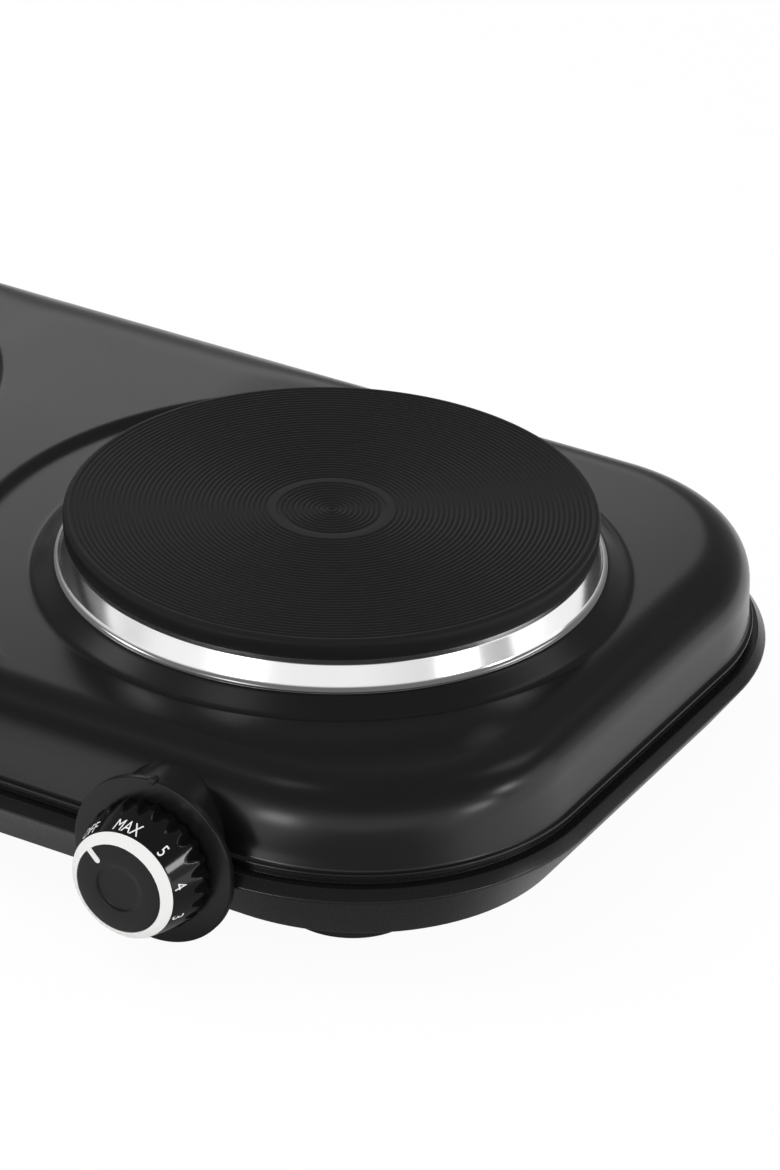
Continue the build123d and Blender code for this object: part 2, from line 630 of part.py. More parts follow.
def tick(grow):
    """Pointer bar that runs inwards from the ring."""
    half = TICK_WIDTH / 2 + grow
    inner = TICK_IN_R + TICK_WIDTH / 2
    length = RING_IN_R + TICK_LAP - inner
    bar = Pos(inner + length / 2, 0, 0) * Rectangle(length, 2 * half) + Pos(inner, 0, 0) * Circle(half)
    return Rot(0, 0, TICK_ANGLE) * Pos(0, 0, KNOB_SEAT) * extrude(bar, KNOB_FACE - KNOB_SEAT)


def knob_ring(side):
    """Bevelled ring on the knob face with its pointer tick."""
    points = [(RING_IN_R, KNOB_SEAT), (RING_R, KNOB_SEAT), (RING_R, RING_FOOT), (RING_IN_R, KNOB_FACE)]
    return at_control(side) * (turned(points) + tick(0))


def knob_cap(side):
    """Face disc with a finger dimple, cut out for the tick."""
    r = RING_IN_R - GAP / 2
    dip = CAP_TOP - DIMPLE_DEPTH
    edge, foot_r = CAP_EDGE, DIMPLE_R - DIMPLE_WALL
    points = [(0, KNOB_SEAT), (r, KNOB_SEAT), (r, CAP_TOP - edge), (r - edge, CAP_TOP)]
    points += [(DIMPLE_R + edge, CAP_TOP), (DIMPLE_R, CAP_TOP - edge / 2), (foot_r, dip + edge / 4)]
    points += [(foot_r - DIMPLE_WALL, dip), (0, dip)]
    return at_control(side) * (turned(points) - tick(GAP / 2))


def bezel(side):
    """Round escutcheon with an index bump; its skirt is cut to the body behind it."""
    disc = rod(BEZEL_R, -BEZEL_THICK, 0)
    disc = fillet(disc.edges().group_by(Axis.Z)[-1], BEZEL_EDGE)
    boss = rod(BOSS_R, -BOSS_DEPTH, -BEZEL_THICK)
    boss -= rod(BOSS_R - BOSS_WALL, -BOSS_DEPTH - OVERCUT, -BEZEL_THICK)
    disc += Pos(0, BOSS_UP, 0) * boss
    disc -= rod(BEZEL_BORE, -BEZEL_THICK - OVERCUT, OVERCUT)
    disc += Pos(0, BEZEL_R, 0) * rod(INDEX_R, -BEZEL_THICK, INDEX_UP)
    escutcheon = at_control(side) * disc
    escutcheon -= housing_skin(-GAP)
    escutcheon -= pan_form(GAP)
    return escutcheon - extrude(outline(-GAP, LIP_CORNER + GAP, SEAM_Z - GAP), LIP_THICK + 2 * GAP)


PAIRS = {
    "plate": plate, "trim_ring": trim_ring, "element": element, "plate_cover": plate_cover,
    "plate_stud": plate_stud, "clamp_bar": clamp_bar, "terminal_block": terminal_block,
    "thermostat": thermostat, "thermostat_bracket": thermostat_bracket, "shaft": shaft,
    "knob": knob, "knob_ring": knob_ring, "knob_cap": knob_cap, "bezel": bezel,
}
GROUPS = {
    "clamp_nuts": clamp_nuts, "thermostat_nuts": thermostat_nuts, "bracket_screws": bracket_screws,
    "base_screws": base_screws, "foot_screws": foot_screws,
}
SINGLES = {"upper_housing": upper_housing, "base_pan": base_pan, "cord_gland": cord_gland}

os.makedirs("parts", exist_ok=True)
for name, build in SINGLES.items():
    export_step(build(), f"parts/{name}.step")
for name, build in GROUPS.items():
    export_step(Compound(children=build()), f"parts/{name}.step")
for name in foot_places():
    export_step(foot(name), f"parts/{name}.step")
for name, build in PAIRS.items():
    for side in SIDES:
        export_step(build(side), f"parts/{side}_{name}.step")
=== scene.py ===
import json
import math

import bmesh
import bpy
import numpy as np
from bpy.props import FloatProperty, FloatVectorProperty, IntProperty, PointerProperty
from mathutils import Matrix, Vector


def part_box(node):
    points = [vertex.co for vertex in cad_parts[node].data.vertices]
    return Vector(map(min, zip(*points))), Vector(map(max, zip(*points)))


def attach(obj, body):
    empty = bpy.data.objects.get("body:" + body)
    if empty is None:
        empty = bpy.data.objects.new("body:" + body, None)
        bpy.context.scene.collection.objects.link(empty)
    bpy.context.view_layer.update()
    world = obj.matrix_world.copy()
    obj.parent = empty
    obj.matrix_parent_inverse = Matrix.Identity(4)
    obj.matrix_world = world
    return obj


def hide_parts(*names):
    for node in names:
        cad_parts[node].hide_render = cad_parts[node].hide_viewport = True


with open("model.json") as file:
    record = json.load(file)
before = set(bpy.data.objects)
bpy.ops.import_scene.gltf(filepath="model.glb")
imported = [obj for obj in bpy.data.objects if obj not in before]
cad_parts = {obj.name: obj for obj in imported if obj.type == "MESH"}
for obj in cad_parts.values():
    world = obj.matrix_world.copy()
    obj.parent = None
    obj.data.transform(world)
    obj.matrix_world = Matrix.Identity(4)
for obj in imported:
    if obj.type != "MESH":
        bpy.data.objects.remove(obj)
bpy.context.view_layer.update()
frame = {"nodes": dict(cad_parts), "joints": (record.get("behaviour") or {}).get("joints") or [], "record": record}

bl_info = {
    "name": "Double hot plate",
    "version": (1, 0, 0),
    "blender": (4, 5, 0),
    "location": "View3D > Sidebar > Hot plate",
    "description": "Dresses a table-top hot plate with two cast plates, knobs and a drawn housing",
    "category": "Object",
}

MM = 0.001
WELD = 2e-6
SIDES = ("right", "left")
BODY = "body"
BOX = {name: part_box(name) for name in frame["nodes"]}
CROWN = 0.8 * MM  # cooking face above the edge line of a plate, from which heights are given
EDGE_Z = BOX["right_plate"][1].z - CROWN
BURNER = {side: (BOX[side + "_plate"][0] + BOX[side + "_plate"][1]) / 2 for side in SIDES}
PLATE_R = {side: (BOX[side + "_plate"][1].x - BOX[side + "_plate"][0].x) / 2 for side in SIDES}
BODY_Y = BURNER["right"].y
LIP_HALF = ((BOX["upper_housing"][1].x - BOX["upper_housing"][0].x) / 2,
            (BOX["upper_housing"][1].y - BOX["upper_housing"][0].y) / 2)
SEAM_Z = BOX["upper_housing"][0].z
FLOOR_Z = BOX["base_pan"][0].z
AXIS = {joint["child"].split("_")[0]: Vector(joint["pos_m"]) for joint in frame["joints"]}
AROUND = 240  # steps round a plate
FLUTE_STEPS = 14  # steps across one scallop of a knob


# Sizes and colours that a user would change

def size(name, description, value):
    return FloatProperty(name=name, description=description, default=value * MM, unit="LENGTH", precision=4)


def colour(name, description, value):
    return FloatVectorProperty(name=name, description=description, default=value, size=3, subtype="COLOR",
                               min=0.0, max=1.0)


def watts(name, description, value):
    return FloatProperty(name=name, description=description, default=value, min=0.0, unit="POWER")


class HotPlateHousing(bpy.types.PropertyGroup):
    sheet: size("Sheet", "Thickness of the drawn sheet", 1.2)
    wall_inset: size("Wall inset", "Upright wall behind the lip", 3.0)
    wall_corner: size("Wall corner", "Corner radius of the upright wall", 77.5)
    fold_across: size("Fold across", "Width of the fold round the burners", 20.0)
    web_fold: size("Web fold", "Width of the fold at the raised web", 30.0)
    fold_drop: size("Fold start", "Lower end of the fold below the plate edge", 38.5)
    front_roll: size("Front roll", "How much further down the fold reaches along the front", 8.0)
    fold_power: FloatProperty(name="Fold power", description="Fullness of the fold, 2 for an ellipse", default=2.3,
                              min=1.5, max=4.0)
    deck_drop: size("Web", "Raised web between the wells below the plate edge", 20.8)
    well_drop: size("Well floor", "Flat round the burners below the plate edge", 22.9)
    well_out: size("Well edge", "Foot of the well wall beyond the plate edge", 33.3)
    collar_drop: size("Collar top", "Top of the raised collar below the plate edge", 17.5)
    collar_foot: size("Collar foot", "Foot of the collar beyond the plate edge", 11.1)
    collar_top: size("Collar edge", "Top edge of the collar beyond the plate edge", 3.3)
    parting: FloatProperty(name="Parting", description="Where the two halves of the skin meet",
                           default=-15.0 * MM, unit="LENGTH")


class HotPlatePan(bpy.types.PropertyGroup):
    rim_out: size("Rim", "Outermost line beyond the lip", 4.85)
    belt_drop: size("Belt", "Outermost line below the plate edge", 59.3)
    rim_drop: size("Rim top", "Top of the rim below the plate edge", 55.6)
    floor_inset: size("Floor inset", "Edge of the floor inside the lip", 8.45)
    lip_corner: size("Lip corner", "Corner radius at the lip", 84.0)
    floor_corner: size("Floor corner", "Corner radius of the floor", 72.0)
    wall: size("Wall", "Wall thickness", 2.4)


class HotPlatePlates(bpy.types.PropertyGroup):
    pitch: size("Groove pitch", "Distance between turned grooves", 1.8)
    depth: size("Groove depth", "Depth of the turned grooves", 0.4)
    centre: size("Centre", "Radius of the sunk middle", 18.6)
    plain_ring: size("Plain ring", "Outer radius of the smooth ring round the middle", 21.85)
    sink: size("Sink", "How far the middle is sunk", 0.3)
    edge: size("Edge", "Rounding of the outer edge", 1.8)


class HotPlateControls(bpy.types.PropertyGroup):
    flutes: IntProperty(name="Flutes", description="Scallops round the knob", default=24, min=8, max=48)
    flute_r: size("Flute radius", "Radius of each scallop", 2.6)
    flute_axis: size("Flute axis", "Distance of the scallops from the knob axis", 24.4)
    skirt_r: size("Skirt", "Radius of the knob at the back", 23.0)
    face_r: size("Face", "Radius of the knob at its face", 19.5)
    bezel_r: size("Bezel", "Radius of the bezel", 30.3)
    boss_r: size("Boss", "Radius of the boss behind the bezel", 21.5)
    boss_up: size("Boss rise", "Axis of the boss above the knob axis", 7.3)
    tick: FloatProperty(name="Tick", description="Angle of the pointer tick", default=math.radians(134.0),
                        subtype="ANGLE")
    mark_size: size("Marks", "Height of the printed marks", 4.9)


class HotPlateFinishes(bpy.types.PropertyGroup):
    enamel: colour("Enamel", "Drawn housing", (0.0062, 0.0061, 0.0061))
    pan: colour("Pan", "Moulded base pan", (0.0065, 0.0065, 0.0066))
    iron: colour("Iron", "Cast plates", (0.0130, 0.0128, 0.0126))
    chrome: colour("Chrome", "Trim rings", (0.92, 0.92, 0.925))
    knob: colour("Knob", "Polished knob", (0.0040, 0.0040, 0.0041))
    cap: colour("Cap", "Face of the knob", (0.0100, 0.0100, 0.0103))
    bezel: colour("Bezel", "Bezel and boss", (0.0070, 0.0070, 0.0071))
    white: colour("White", "Ring and printed marks", (0.84, 0.84, 0.83))


class HotPlateStudio(bpy.types.PropertyGroup):
    world: FloatProperty(name="World", description="Strength of the surrounding light", default=0.55, min=0.0)
    fade: FloatProperty(name="Fade", description="How fast the white surroundings darken overhead", default=11.8,
                        min=0.0)
    key: watts("Key", "Power of the overhead light", 10.0)
    fill: watts("Fill", "Power of the fill light", 5.0)
    right: watts("Right", "Power of the low light at the right", 1.4)
    spot: watts("Spot", "Power of the small bright light at the right", 1.7)
    left: watts("Left", "Power of the high light at the left", 0.95)
    back: watts("Back", "Power of the light behind at the left", 1.1)
    rear: watts("Rear", "Power of the high light behind at the right", 0.5)
    top: watts("Top", "Power of the small light overhead", 0.4)
    front: watts("Front", "Power of the low light in front", 1.8)
    shadow: FloatProperty(name="Shadow", description="Share of the floor that shows the shadow", default=0.05,
                          min=0.0, max=1.0, subtype="FACTOR")


def settings(group):
    return getattr(bpy.context.scene, "hot_plate_" + group)


# Meshes

def in_mm(rows, out=0.0):
    """Profile of (radius, height) rows in millimetres, moved outwards by a radius in metres."""
    return [(out + across * MM, up * MM) for across, up in rows]


def put(name, data):
    """New object in the scene."""
    made = bpy.data.objects.new(name, data)
    bpy.context.scene.collection.objects.link(made)
    return made


def opened(mesh):
    work = bmesh.new()
    work.from_mesh(mesh)
    return work


def welded(work, reach=WELD):
    bmesh.ops.remove_doubles(work, verts=work.verts[:], dist=reach)


def settled(work, mesh):
    """Turns the faces of an opened mesh outwards and writes it back."""
    bmesh.ops.recalc_face_normals(work, faces=work.faces[:])
    work.to_mesh(mesh)
    work.free()
    return mesh


def taken(mesh):
    """Points and faces of a mesh, which is then removed."""
    points = np.array([vertex.co[:] for vertex in mesh.vertices])
    faces = [tuple(face.vertices) for face in mesh.polygons]
    bpy.data.meshes.remove(mesh)
    return points, faces


def new_mesh(name, points, faces, weld=WELD):
    """Closed mesh with its doubles merged and its faces turned outwards."""
    mesh = bpy.data.meshes.new(name)
    mesh.from_pydata(np.asarray(points, float).reshape(-1, 3).tolist(), [], faces)
    work = opened(mesh)
    welded(work, weld)
    bmesh.ops.dissolve_degenerate(work, dist=1e-7, edges=work.edges[:])
    bmesh.ops.delete(work, geom=[edge for edge in work.edges if not edge.link_faces], context="EDGES")
    return settled(work, mesh)


def place_piece(name, mesh, material, body, nodes=(), crease=40.0):
    """Puts a finished mesh into the scene as a piece of the object."""
    mesh.name = name
    mesh.materials.clear()
    mesh.materials.append(material)
    mesh.shade_smooth()
    mesh.set_sharp_from_angle(angle=math.radians(crease))
    piece = put(name, mesh)
    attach(piece, body)
    if nodes:
        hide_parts(*nodes)


def grid_faces(rows, columns, wrap=True):
    """Quads between rows of points; wrap joins the last column to the first."""
    faces = []
    for low in range(0, (rows - 1) * columns, columns):
        high = low + columns
        for column in range(columns if wrap else columns - 1):
            after = (column + 1) % columns
            faces.append((low + column, low + after, high + after, high + column))
    return faces


def round_angles(steps):
    return np.arange(steps) * math.tau / steps


def placed(points, place):
    return points @ np.array(place.to_3x3()).T + np.array(place.translation)


def turned(profile, steps=AROUND, place=Matrix.Identity(4), closed=True):
    """Points and faces of a (radius, height) profile turned about the local Z axis."""
    profile = list(profile) + ([profile[0]] if closed else [])
    angles = round_angles(steps)
    points = np.concatenate([np.stack([r * np.cos(angles), r * np.sin(angles), np.full(steps, h)], -1)
                             for r, h in profile])
    return placed(points, place), grid_faces(len(profile), steps)


def eased(points, radii, steps=5):
    """Rounds the corners of a closed profile, each by its own radius in millimetres; the axis stays sharp."""
    count = len(points)
    out = []
    for index, radius in enumerate(radii):
        corner, radius = Vector(points[index]), radius * MM
        before, after = Vector(points[index - 1]) - corner, Vector(points[(index + 1) % count]) - corner
        if radius <= 0 or corner.x < 1e-9:
            out.append(tuple(corner))
            continue
        half = before.angle(after) / 2
        reach = min(radius / max(math.tan(half), 1e-6), before.length * 0.48, after.length * 0.48)
        first, last = corner + before.normalized() * reach, corner + after.normalized() * reach
        for t in (step / steps for step in range(steps + 1)):
            out.append(tuple(first * (1 - t) ** 2 + corner * 2 * t * (1 - t) + last * t ** 2))
    return out


def joined(*parts):
    """One list of points and faces from several."""
    points, faces, start = [], [], 0
    for part_points, part_faces in parts:
        points.append(np.asarray(part_points, float))
        faces += [tuple(index + start for index in face) for face in part_faces]
        start += len(part_points)
    return np.concatenate(points), faces


def control_frame(side):
    """Local frame of a control: origin on the bezel face, Z forwards, Y up."""
    turn = Matrix(((1, 0, 0), (0, 0, -1), (0, 1, 0))).to_4x4()
    return Matrix.Translation(AXIS[side]) @ turn


def burner_frame(side):
    return Matrix.Translation(Vector((BURNER[side].x, BURNER[side].y, EDGE_Z)))


# Plan outline of the body

def outline_gap(x, y, inset, corner):
    """Signed distance of plan points from a rounded outline, negative inside it."""
    across = np.abs(x) - (LIP_HALF[0] - inset - corner)
    along = np.abs(y - BODY_Y) - (LIP_HALF[1] - inset - corner)
    outside = np.hypot(np.maximum(across, 0), np.maximum(along, 0))
    return outside + np.minimum(np.maximum(across, along), 0) - corner


def outline_ring(inset, corner, z, straight=(24, 12), arc=28):
    """Points of a rounded outline, anticlockwise from the right end."""
    half_x, half_y = LIP_HALF[0] - inset, LIP_HALF[1] - inset
    points = []
    for turn, sx, sy in ((0, 1, 1), (1, -1, 1), (2, -1, -1), (3, 1, -1)):
        centre = np.array([sx * (half_x - corner), sy * (half_y - corner)])
        for step in range(arc + 1):
            angle = (turn + step / arc) * math.pi / 2
            points.append(centre + corner * np.array([math.cos(angle), math.sin(angle)]))
        count = straight[turn % 2]
        end = points[-1]
        run = 2 * (half_x - corner) if turn % 2 == 0 else 2 * (half_y - corner)
        heading = np.array([(-1, 0), (0, -1), (1, 0), (0, 1)][turn])
        points += [end + heading * run * step / count for step in range(1, count)]
    plan = np.array(points)
    return np.column_stack([plan[:, 0], plan[:, 1] + BODY_Y, np.full(len(plan), z)])


# Housing skin

CORNER_SHRINK = 1.3  # loss of corner radius for each step inwards
WEB_FADE = (40, 85)  # millimetres from the parting between which the web sinks to the flat
FRONT_FADE = (84, 130)  # millimetres in front of the middle between which the front roll sets in
WELL_SLOPE, WELL_BLEND, WEB_BLEND = 0.75, 0.7 * MM, 1.2 * MM  # well wall, and how softly it starts and ends
COLLAR_BLEND, COLLAR_FOOT_BLEND, COLLAR_REACH = 0.7 * MM, 1.1 * MM, 12 * MM  # the same for the collars
SWEEP_RAYS, FLAT_RAYS, FOLD_RAYS = 190, 42, 15  # rays to the outline, to the flat parting and to its folds
SEAM_FADE = (98, 134)  # millimetres along the parting between which samples draw in to its ends
RING_SAMPLES = (-5, -1, 1.5, 2.3, 2.7, 3.0, 3.3, 3.6, 4.0, 4.6, 5.4, 6.4, 7.4, 8.3, 9.1, 9.8, 10.4, 11.0, 11.6,
                12.3, 13.1, 14.0, 15.0)  # millimetres beyond the plate edge, close at the collar's bends
KNEE_OUT, KNEE_SHARE, RAY_SAMPLES = 42 * MM, 0.75, 31  # where a ray changes from even to closing samples
# Samples of each ray that the inner skin keeps
INNER_SAMPLES = (0, 2, 6, 10, 14, 17, 20, 22, 27, 32, 37, 42, 46, 50, 53, 57, 61, 65, 69, 73, 76, 79, 81, 82)
WALL_OUTSIDE, PAN_INSIDE = 10, 3  # rows of the wall down to the edge of the lip; rows of the pan's inside


def s_curve(value, low, high):
    """0 up to low, 1 from high, and an even S between them."""
    t = np.clip((value - low) / (high - low), 0, 1)
    return t * t * (3 - 2 * t)


def bisected(low, high, inside, rounds):
    """Where a test that holds at low stops, for arrays."""
    for _ in range(rounds):
        middle = (low + high) / 2
        holds = inside(middle)
        low, high = np.where(holds, middle, low), np.where(holds, high, middle)
    return low


def past_plate(side, x, y):
    """Distance of plan points beyond the edge of a plate."""
    return np.hypot(x - BURNER[side].x, y - BURNER[side].y) - PLATE_R[side]


def fold_corner(inset, form):
    return form.wall_corner - CORNER_SHRINK * (inset - form.wall_inset)


def soft_min(a, b, reach):
    mix = np.maximum(reach - np.abs(a - b), 0) / reach
    return np.minimum(a, b) - mix * mix * reach / 4


def soft_ramp(distance, width):
    return width * np.logaddexp(0, distance / width)


def web_share(x, form):
    """1 on the web between the burners, 0 round their outer halves."""
    return 1 - s_curve(np.abs(x - form.parting) / MM, *WEB_FADE)


def fold_curve(share, form):
    return np.maximum(1 - share ** form.fold_power, 0) ** (1 / form.fold_power)


def fold_foot(y, inset, form):
    """Height where the fold meets the wall: lower along the front, where the roll is rounder."""
    edge = (BODY_Y - y) * (LIP_HALF[1] - form.wall_inset) / (LIP_HALF[1] - inset)
    return EDGE_Z - form.fold_drop - form.front_roll * s_curve(edge / MM, *FRONT_FADE)


def fold_height(x, y, form):
    """Height of the folded skin over plan points: flat round the burners, raised at the web."""
    inset = bisected(np.full(x.shape, form.wall_inset), np.full(x.shape, form.wall_inset + form.web_fold),
                     lambda middle: outline_gap(x, y, middle, fold_corner(middle, form)) < 0, 34)
    web = web_share(x, form)
    across = form.fold_across + (form.web_fold - form.fold_across) * web
    share = np.clip(1 - (inset - form.wall_inset) / across, 0, 1)
    rise = (form.well_drop - form.deck_drop) * web
    for side in SIDES:
        wall = WELL_SLOPE * soft_ramp(past_plate(side, x, y) - form.well_out, WELL_BLEND)
        rise = np.maximum(soft_min(rise, wall, WEB_BLEND), 0)
    foot = fold_foot(y, inset, form)
    return foot + (EDGE_Z - form.well_drop + rise - foot) * fold_curve(share, form)


def skin_height(x, y, form):
    """Height of the whole upper skin: fold, web and collars."""
    height = fold_height(x, y, form)
    top = EDGE_Z - form.collar_drop
    slope = (form.well_drop - form.collar_drop) / (form.collar_foot - form.collar_top)
    for side in SIDES:
        radius = past_plate(side, x, y)
        collar = soft_min(top - (radius - form.collar_top) * slope, np.full(x.shape, top), COLLAR_BLEND)
        height = np.where(radius < form.collar_foot + COLLAR_REACH,
                          -soft_min(-height, -collar, COLLAR_FOOT_BLEND), height)
    return height


def skin_normal(x, y, form):
    step = 0.05 * MM
    slope_x = (skin_height(x + step, y, form) - skin_height(x - step, y, form)) / (2 * step)
    slope_y = (skin_height(x, y + step, form) - skin_height(x, y - step, form)) / (2 * step)
    normal = np.stack([-slope_x, -slope_y, np.ones_like(slope_x)], -1)
    return normal / np.linalg.norm(normal, axis=-1, keepdims=True)


def ray_length(centre, angles, inset, corner):
    """How far rays from a burner run to an outline."""
    return bisected(np.zeros(angles.shape), np.full(angles.shape, 2 * LIP_HALF[0]), lambda reach: outline_gap(
        centre.x + reach * np.cos(angles), centre.y + reach * np.sin(angles), inset, corner) < 0, 40)


def half_rays(side, form):
    """Angles of the rays of one half: round the outline first, then along the parting."""
    away = form.parting - BURNER[side].x
    reach = LIP_HALF[1] - form.wall_inset
    folds = reach - form.web_fold * (1 - np.sin(np.linspace(0, math.pi / 2, FOLD_RAYS)))
    flat = np.linspace(-folds[0], folds[0], FLAT_RAYS)
    seam = np.unique(np.round(np.concatenate([-folds, flat, folds]), 9))[1:-1]
    end = math.pi - math.atan2(reach, abs(away))
    sweep = np.linspace(end, -end, SWEEP_RAYS)
    return sweep if side == "right" else math.pi - sweep, np.arctan2(seam, away), seam


def skin_half(side, form):
    """Top of one half of the skin, as rays by samples, and the angles of the rays that end at the wall."""
    centre, radius = BURNER[side], PLATE_R[side]
    outer, inner, seam = half_rays(side, form)
    angles = np.concatenate([outer, inner])
    ends = (form.parting - centre.x) / np.cos(angles)
    ends[1:len(outer) - 1] = ray_length(centre, outer, form.wall_inset, form.wall_corner)[1:-1]
    draw = np.ones(angles.shape)
    draw[len(outer):] = np.clip((np.abs(seam) / MM - SEAM_FADE[0]) / (SEAM_FADE[1] - SEAM_FADE[0]), 0, 1)
    ring = np.tile(np.array(RING_SAMPLES) * MM + radius, (len(angles), 1))
    start, ends, draw = ring[:, -1:], ends[:, None], draw[:, None]
    ramp = np.linspace(0, 1, RAY_SAMPLES)[1:]
    knee = np.minimum(radius + KNEE_OUT, start + KNEE_SHARE * (ends - start))
    reach = np.hstack([ring, start + (knee - start) * ramp, knee + (ends - knee) * (1 - (1 - ramp) ** (1 + draw))])
    x = centre.x + reach * np.cos(angles)[:, None]
    y = centre.y + reach * np.sin(angles)[:, None]
    z = skin_height(x, y, form)
    z[:len(outer), -1] = fold_foot(y[:len(outer), -1], form.wall_inset, form)
    return x, y, z, outer


def wall_profile(form):
    """Upright wall, lip and inside of the wall: (inset, share of the rise to the fold, height, corner)."""
    lip_top, wall_foot = SEAM_Z + 1.2 * MM, EDGE_Z - 50.1 * MM
    wall = [(2.75, 0.70, 78.2), (2.45, 0.40, 79.0), (2.15, 0.14, 79.8), (1.98, 0.0, 80.3)]
    edge = [(1.78, 0.42, 80.8), (1.36, 0.10, 81.6), (0.62, 0.0, 82.9), (0.22, -0.06, 83.6), (0.03, -0.28, 83.95),
            (0.0, -0.6, 84.0), (0.03, -0.92, 83.95), (0.22, -1.14, 83.6), (0.6, -1.2, 82.9), (3.1, -1.2, 79.3)]
    inside = [(2.45, 0.4, 77.8), (2.75, 0.7, 77.0)]
    rows = [(inset * MM, share, wall_foot, corner * MM) for inset, share, corner in wall]
    rows += [(inset * MM, 0.0, lip_top + up * MM, corner * MM) for inset, up, corner in edge]
    return rows + [(inset * MM + form.sheet, share, wall_foot, corner * MM) for inset, share, corner in inside]


def housing_mesh(form):
    """Drawn shell of one sheet thickness: outer skin, lip and inner skin."""
    parts = []
    for side in SIDES:
        centre = BURNER[side]
        x, y, z, outer = skin_half(side, form)
        rays, samples = x.shape
        skin = np.stack([x, y, z], -1)
        sunk = (skin - skin_normal(x, y, form) * form.sheet)[:, INNER_SAMPLES]
        sunk[:, 0, :2] = skin[:, 0, :2]
        rings = [skin[:len(outer), -1]]
        foot = rings[0][:, 2]
        for inset, share, height, corner in wall_profile(form):
            reach = ray_length(centre, outer, inset, corner)
            ring = np.stack([centre.x + reach * np.cos(outer), centre.y + reach * np.sin(outer),
                             height + share * (foot - height)], -1)
            for index in (0, -1):
                ring[index, 0] = form.parting
                ring[index, 1] = BODY_Y + math.copysign(LIP_HALF[1] - inset, ring[index, 1] - BODY_Y)
            rings.append(ring)
        rings.append(sunk[:len(outer), -1])
        parts += [(skin.transpose(1, 0, 2).reshape(-1, 3), grid_faces(samples, rays)),
                  (sunk.transpose(1, 0, 2).reshape(-1, 3), grid_faces(len(INNER_SAMPLES), rays)),
                  (np.concatenate([skin[:, 0], sunk[:, 0]]), grid_faces(2, rays)),
                  (np.concatenate(rings), grid_faces(len(rings), len(outer), wrap=False))]
    return new_mesh("housing_shell", *joined(*parts), weld=0.04 * MM)


class HOTPLATE_OT_make_housing(bpy.types.Operator):
    """Make the drawn housing with its fold, wells, collars and lip"""
    bl_idname = "hotplate.make_housing"
    bl_label = "Housing"

    def execute(self, context):
        mesh = housing_mesh(settings("housing"))
        place_piece("housing_shell", mesh, finish_of("enamel"), BODY, ["upper_housing"],
                    crease=60.0)
        return {"FINISHED"}


# Base pan

def pan_rows(form):
    """Section of the pan from the floor edge outside, over the rim, to the floor edge inside."""
    belt, rim = EDGE_Z - form.belt_drop, EDGE_Z - form.rim_drop
    shoulder, tongue, top = 1.5 * MM, 3.8 * MM, SEAM_Z + 5.4 * MM
    bend = [(form.floor_inset + 4.0 * MM, FLOOR_Z), (form.floor_inset, FLOOR_Z),
            (-form.rim_out - 0.225 * MM, belt), (-2.0 * MM, rim), (shoulder, rim), (shoulder, SEAM_Z),
            (tongue, SEAM_Z), (tongue, top)]
    radii = [0, 5.5, 1.0, 0.6, 0.2, 0.3, 0.2, 0]
    clear = 1.0  # keeps the section off the axis, where eased would leave it sharp
    rows = []
    for inset, z in eased([(x + clear, z) for x, z in bend], radii, 6):
        inset -= clear
        if z > belt:
            corner = form.lip_corner - inset
        elif inset > form.floor_inset:
            corner = form.floor_corner - (inset - form.floor_inset)
        else:
            share = (form.floor_inset - inset) / (form.floor_inset + form.rim_out)
            corner = form.floor_corner + share * (form.lip_corner + form.rim_out - form.floor_corner)
        rows.append((inset, z, corner))
    inner = tongue + 2.2 * MM
    return rows + [(inner, top, form.lip_corner - inner), (inner, belt - 6 * MM, form.lip_corner - inner),
                   (form.floor_inset + form.wall, FLOOR_Z + form.wall, form.floor_corner - form.wall)]


def slot_loop(x, y, length, width, steps=8):
    """Plan outline of a round-ended slot."""
    radius, run = width / 2, (length - width) / 2
    loop = []
    for end, start in ((1, 0), (-1, math.pi)):
        for step in range(steps + 1):
            angle = math.pi * (step / steps - 0.5) + start
            loop.append((x + end * run + radius * math.cos(angle), y + radius * math.sin(angle)))
    return loop


def vent_loops():
    """Rows of slots under each burner."""
    pitch, length, width = 12 * MM, 36 * MM, 4 * MM
    loops = []
    for side in SIDES:
        for column in (-24, 24):
            for row in range(-3, 4):
                x, y = BURNER[side].x + column * MM, BURNER[side].y + row * pitch
                loops.append(slot_loop(x, y, length, width))
    return loops


def screw_places():
    """Base screws: four at the ends, two in the middle."""
    head, end = 3.6 * MM, 45 * MM
    high = BOX["base_screws"][1]
    x, y = high.x - head, high.y - head - BODY_Y
    return [(sx * x, BODY_Y + sy * end) for sx in (1, -1) for sy in (1, -1)] + \
           [(0.0, BODY_Y + sy * y) for sy in (1, -1)]


def flat_sheet(rims, holes, work):
    """Fills two level outlines, leaves their holes open and adds the upright walls of the holes."""
    levels = []
    for rim in rims:
        rows, edges = [], []
        for loop in [rim] + [[(x, y, rim[0][2]) for x, y in hole] for hole in holes]:
            rows.append([work.verts.new(point) for point in loop])
            edges += [work.edges.new((rows[-1][i - 1], rows[-1][i])) for i in range(len(loop))]
        levels.append((rows, edges))
    for _, edges in levels:
        bmesh.ops.triangle_fill(work, edges=edges, use_beauty=True)
    for low, high in list(zip(levels[0][0], levels[1][0]))[1:]:
        for i in range(len(low)):
            work.faces.new((low[i - 1], low[i], high[i], high[i - 1]))


def pan_mesh(form):
    """Turned-up pan with open vent slots and screw recesses in its floor."""
    rings = [outline_ring(inset, corner, z) for inset, z, corner in pan_rows(form)]
    mesh = bpy.data.meshes.new("pan")
    mesh.from_pydata(np.concatenate(rings).tolist(), [], grid_faces(len(rings), len(rings[0])))
    work = opened(mesh)
    recess_r = 3.8 * MM
    recesses = [[(x + recess_r * math.cos(a), y + recess_r * math.sin(a)) for a in round_angles(24)]
                for x, y in screw_places()]
    flat_sheet([[tuple(point) for point in ring] for ring in (rings[0], rings[-1])], vent_loops() + recesses, work)
    welded(work)
    return settled(work, mesh)


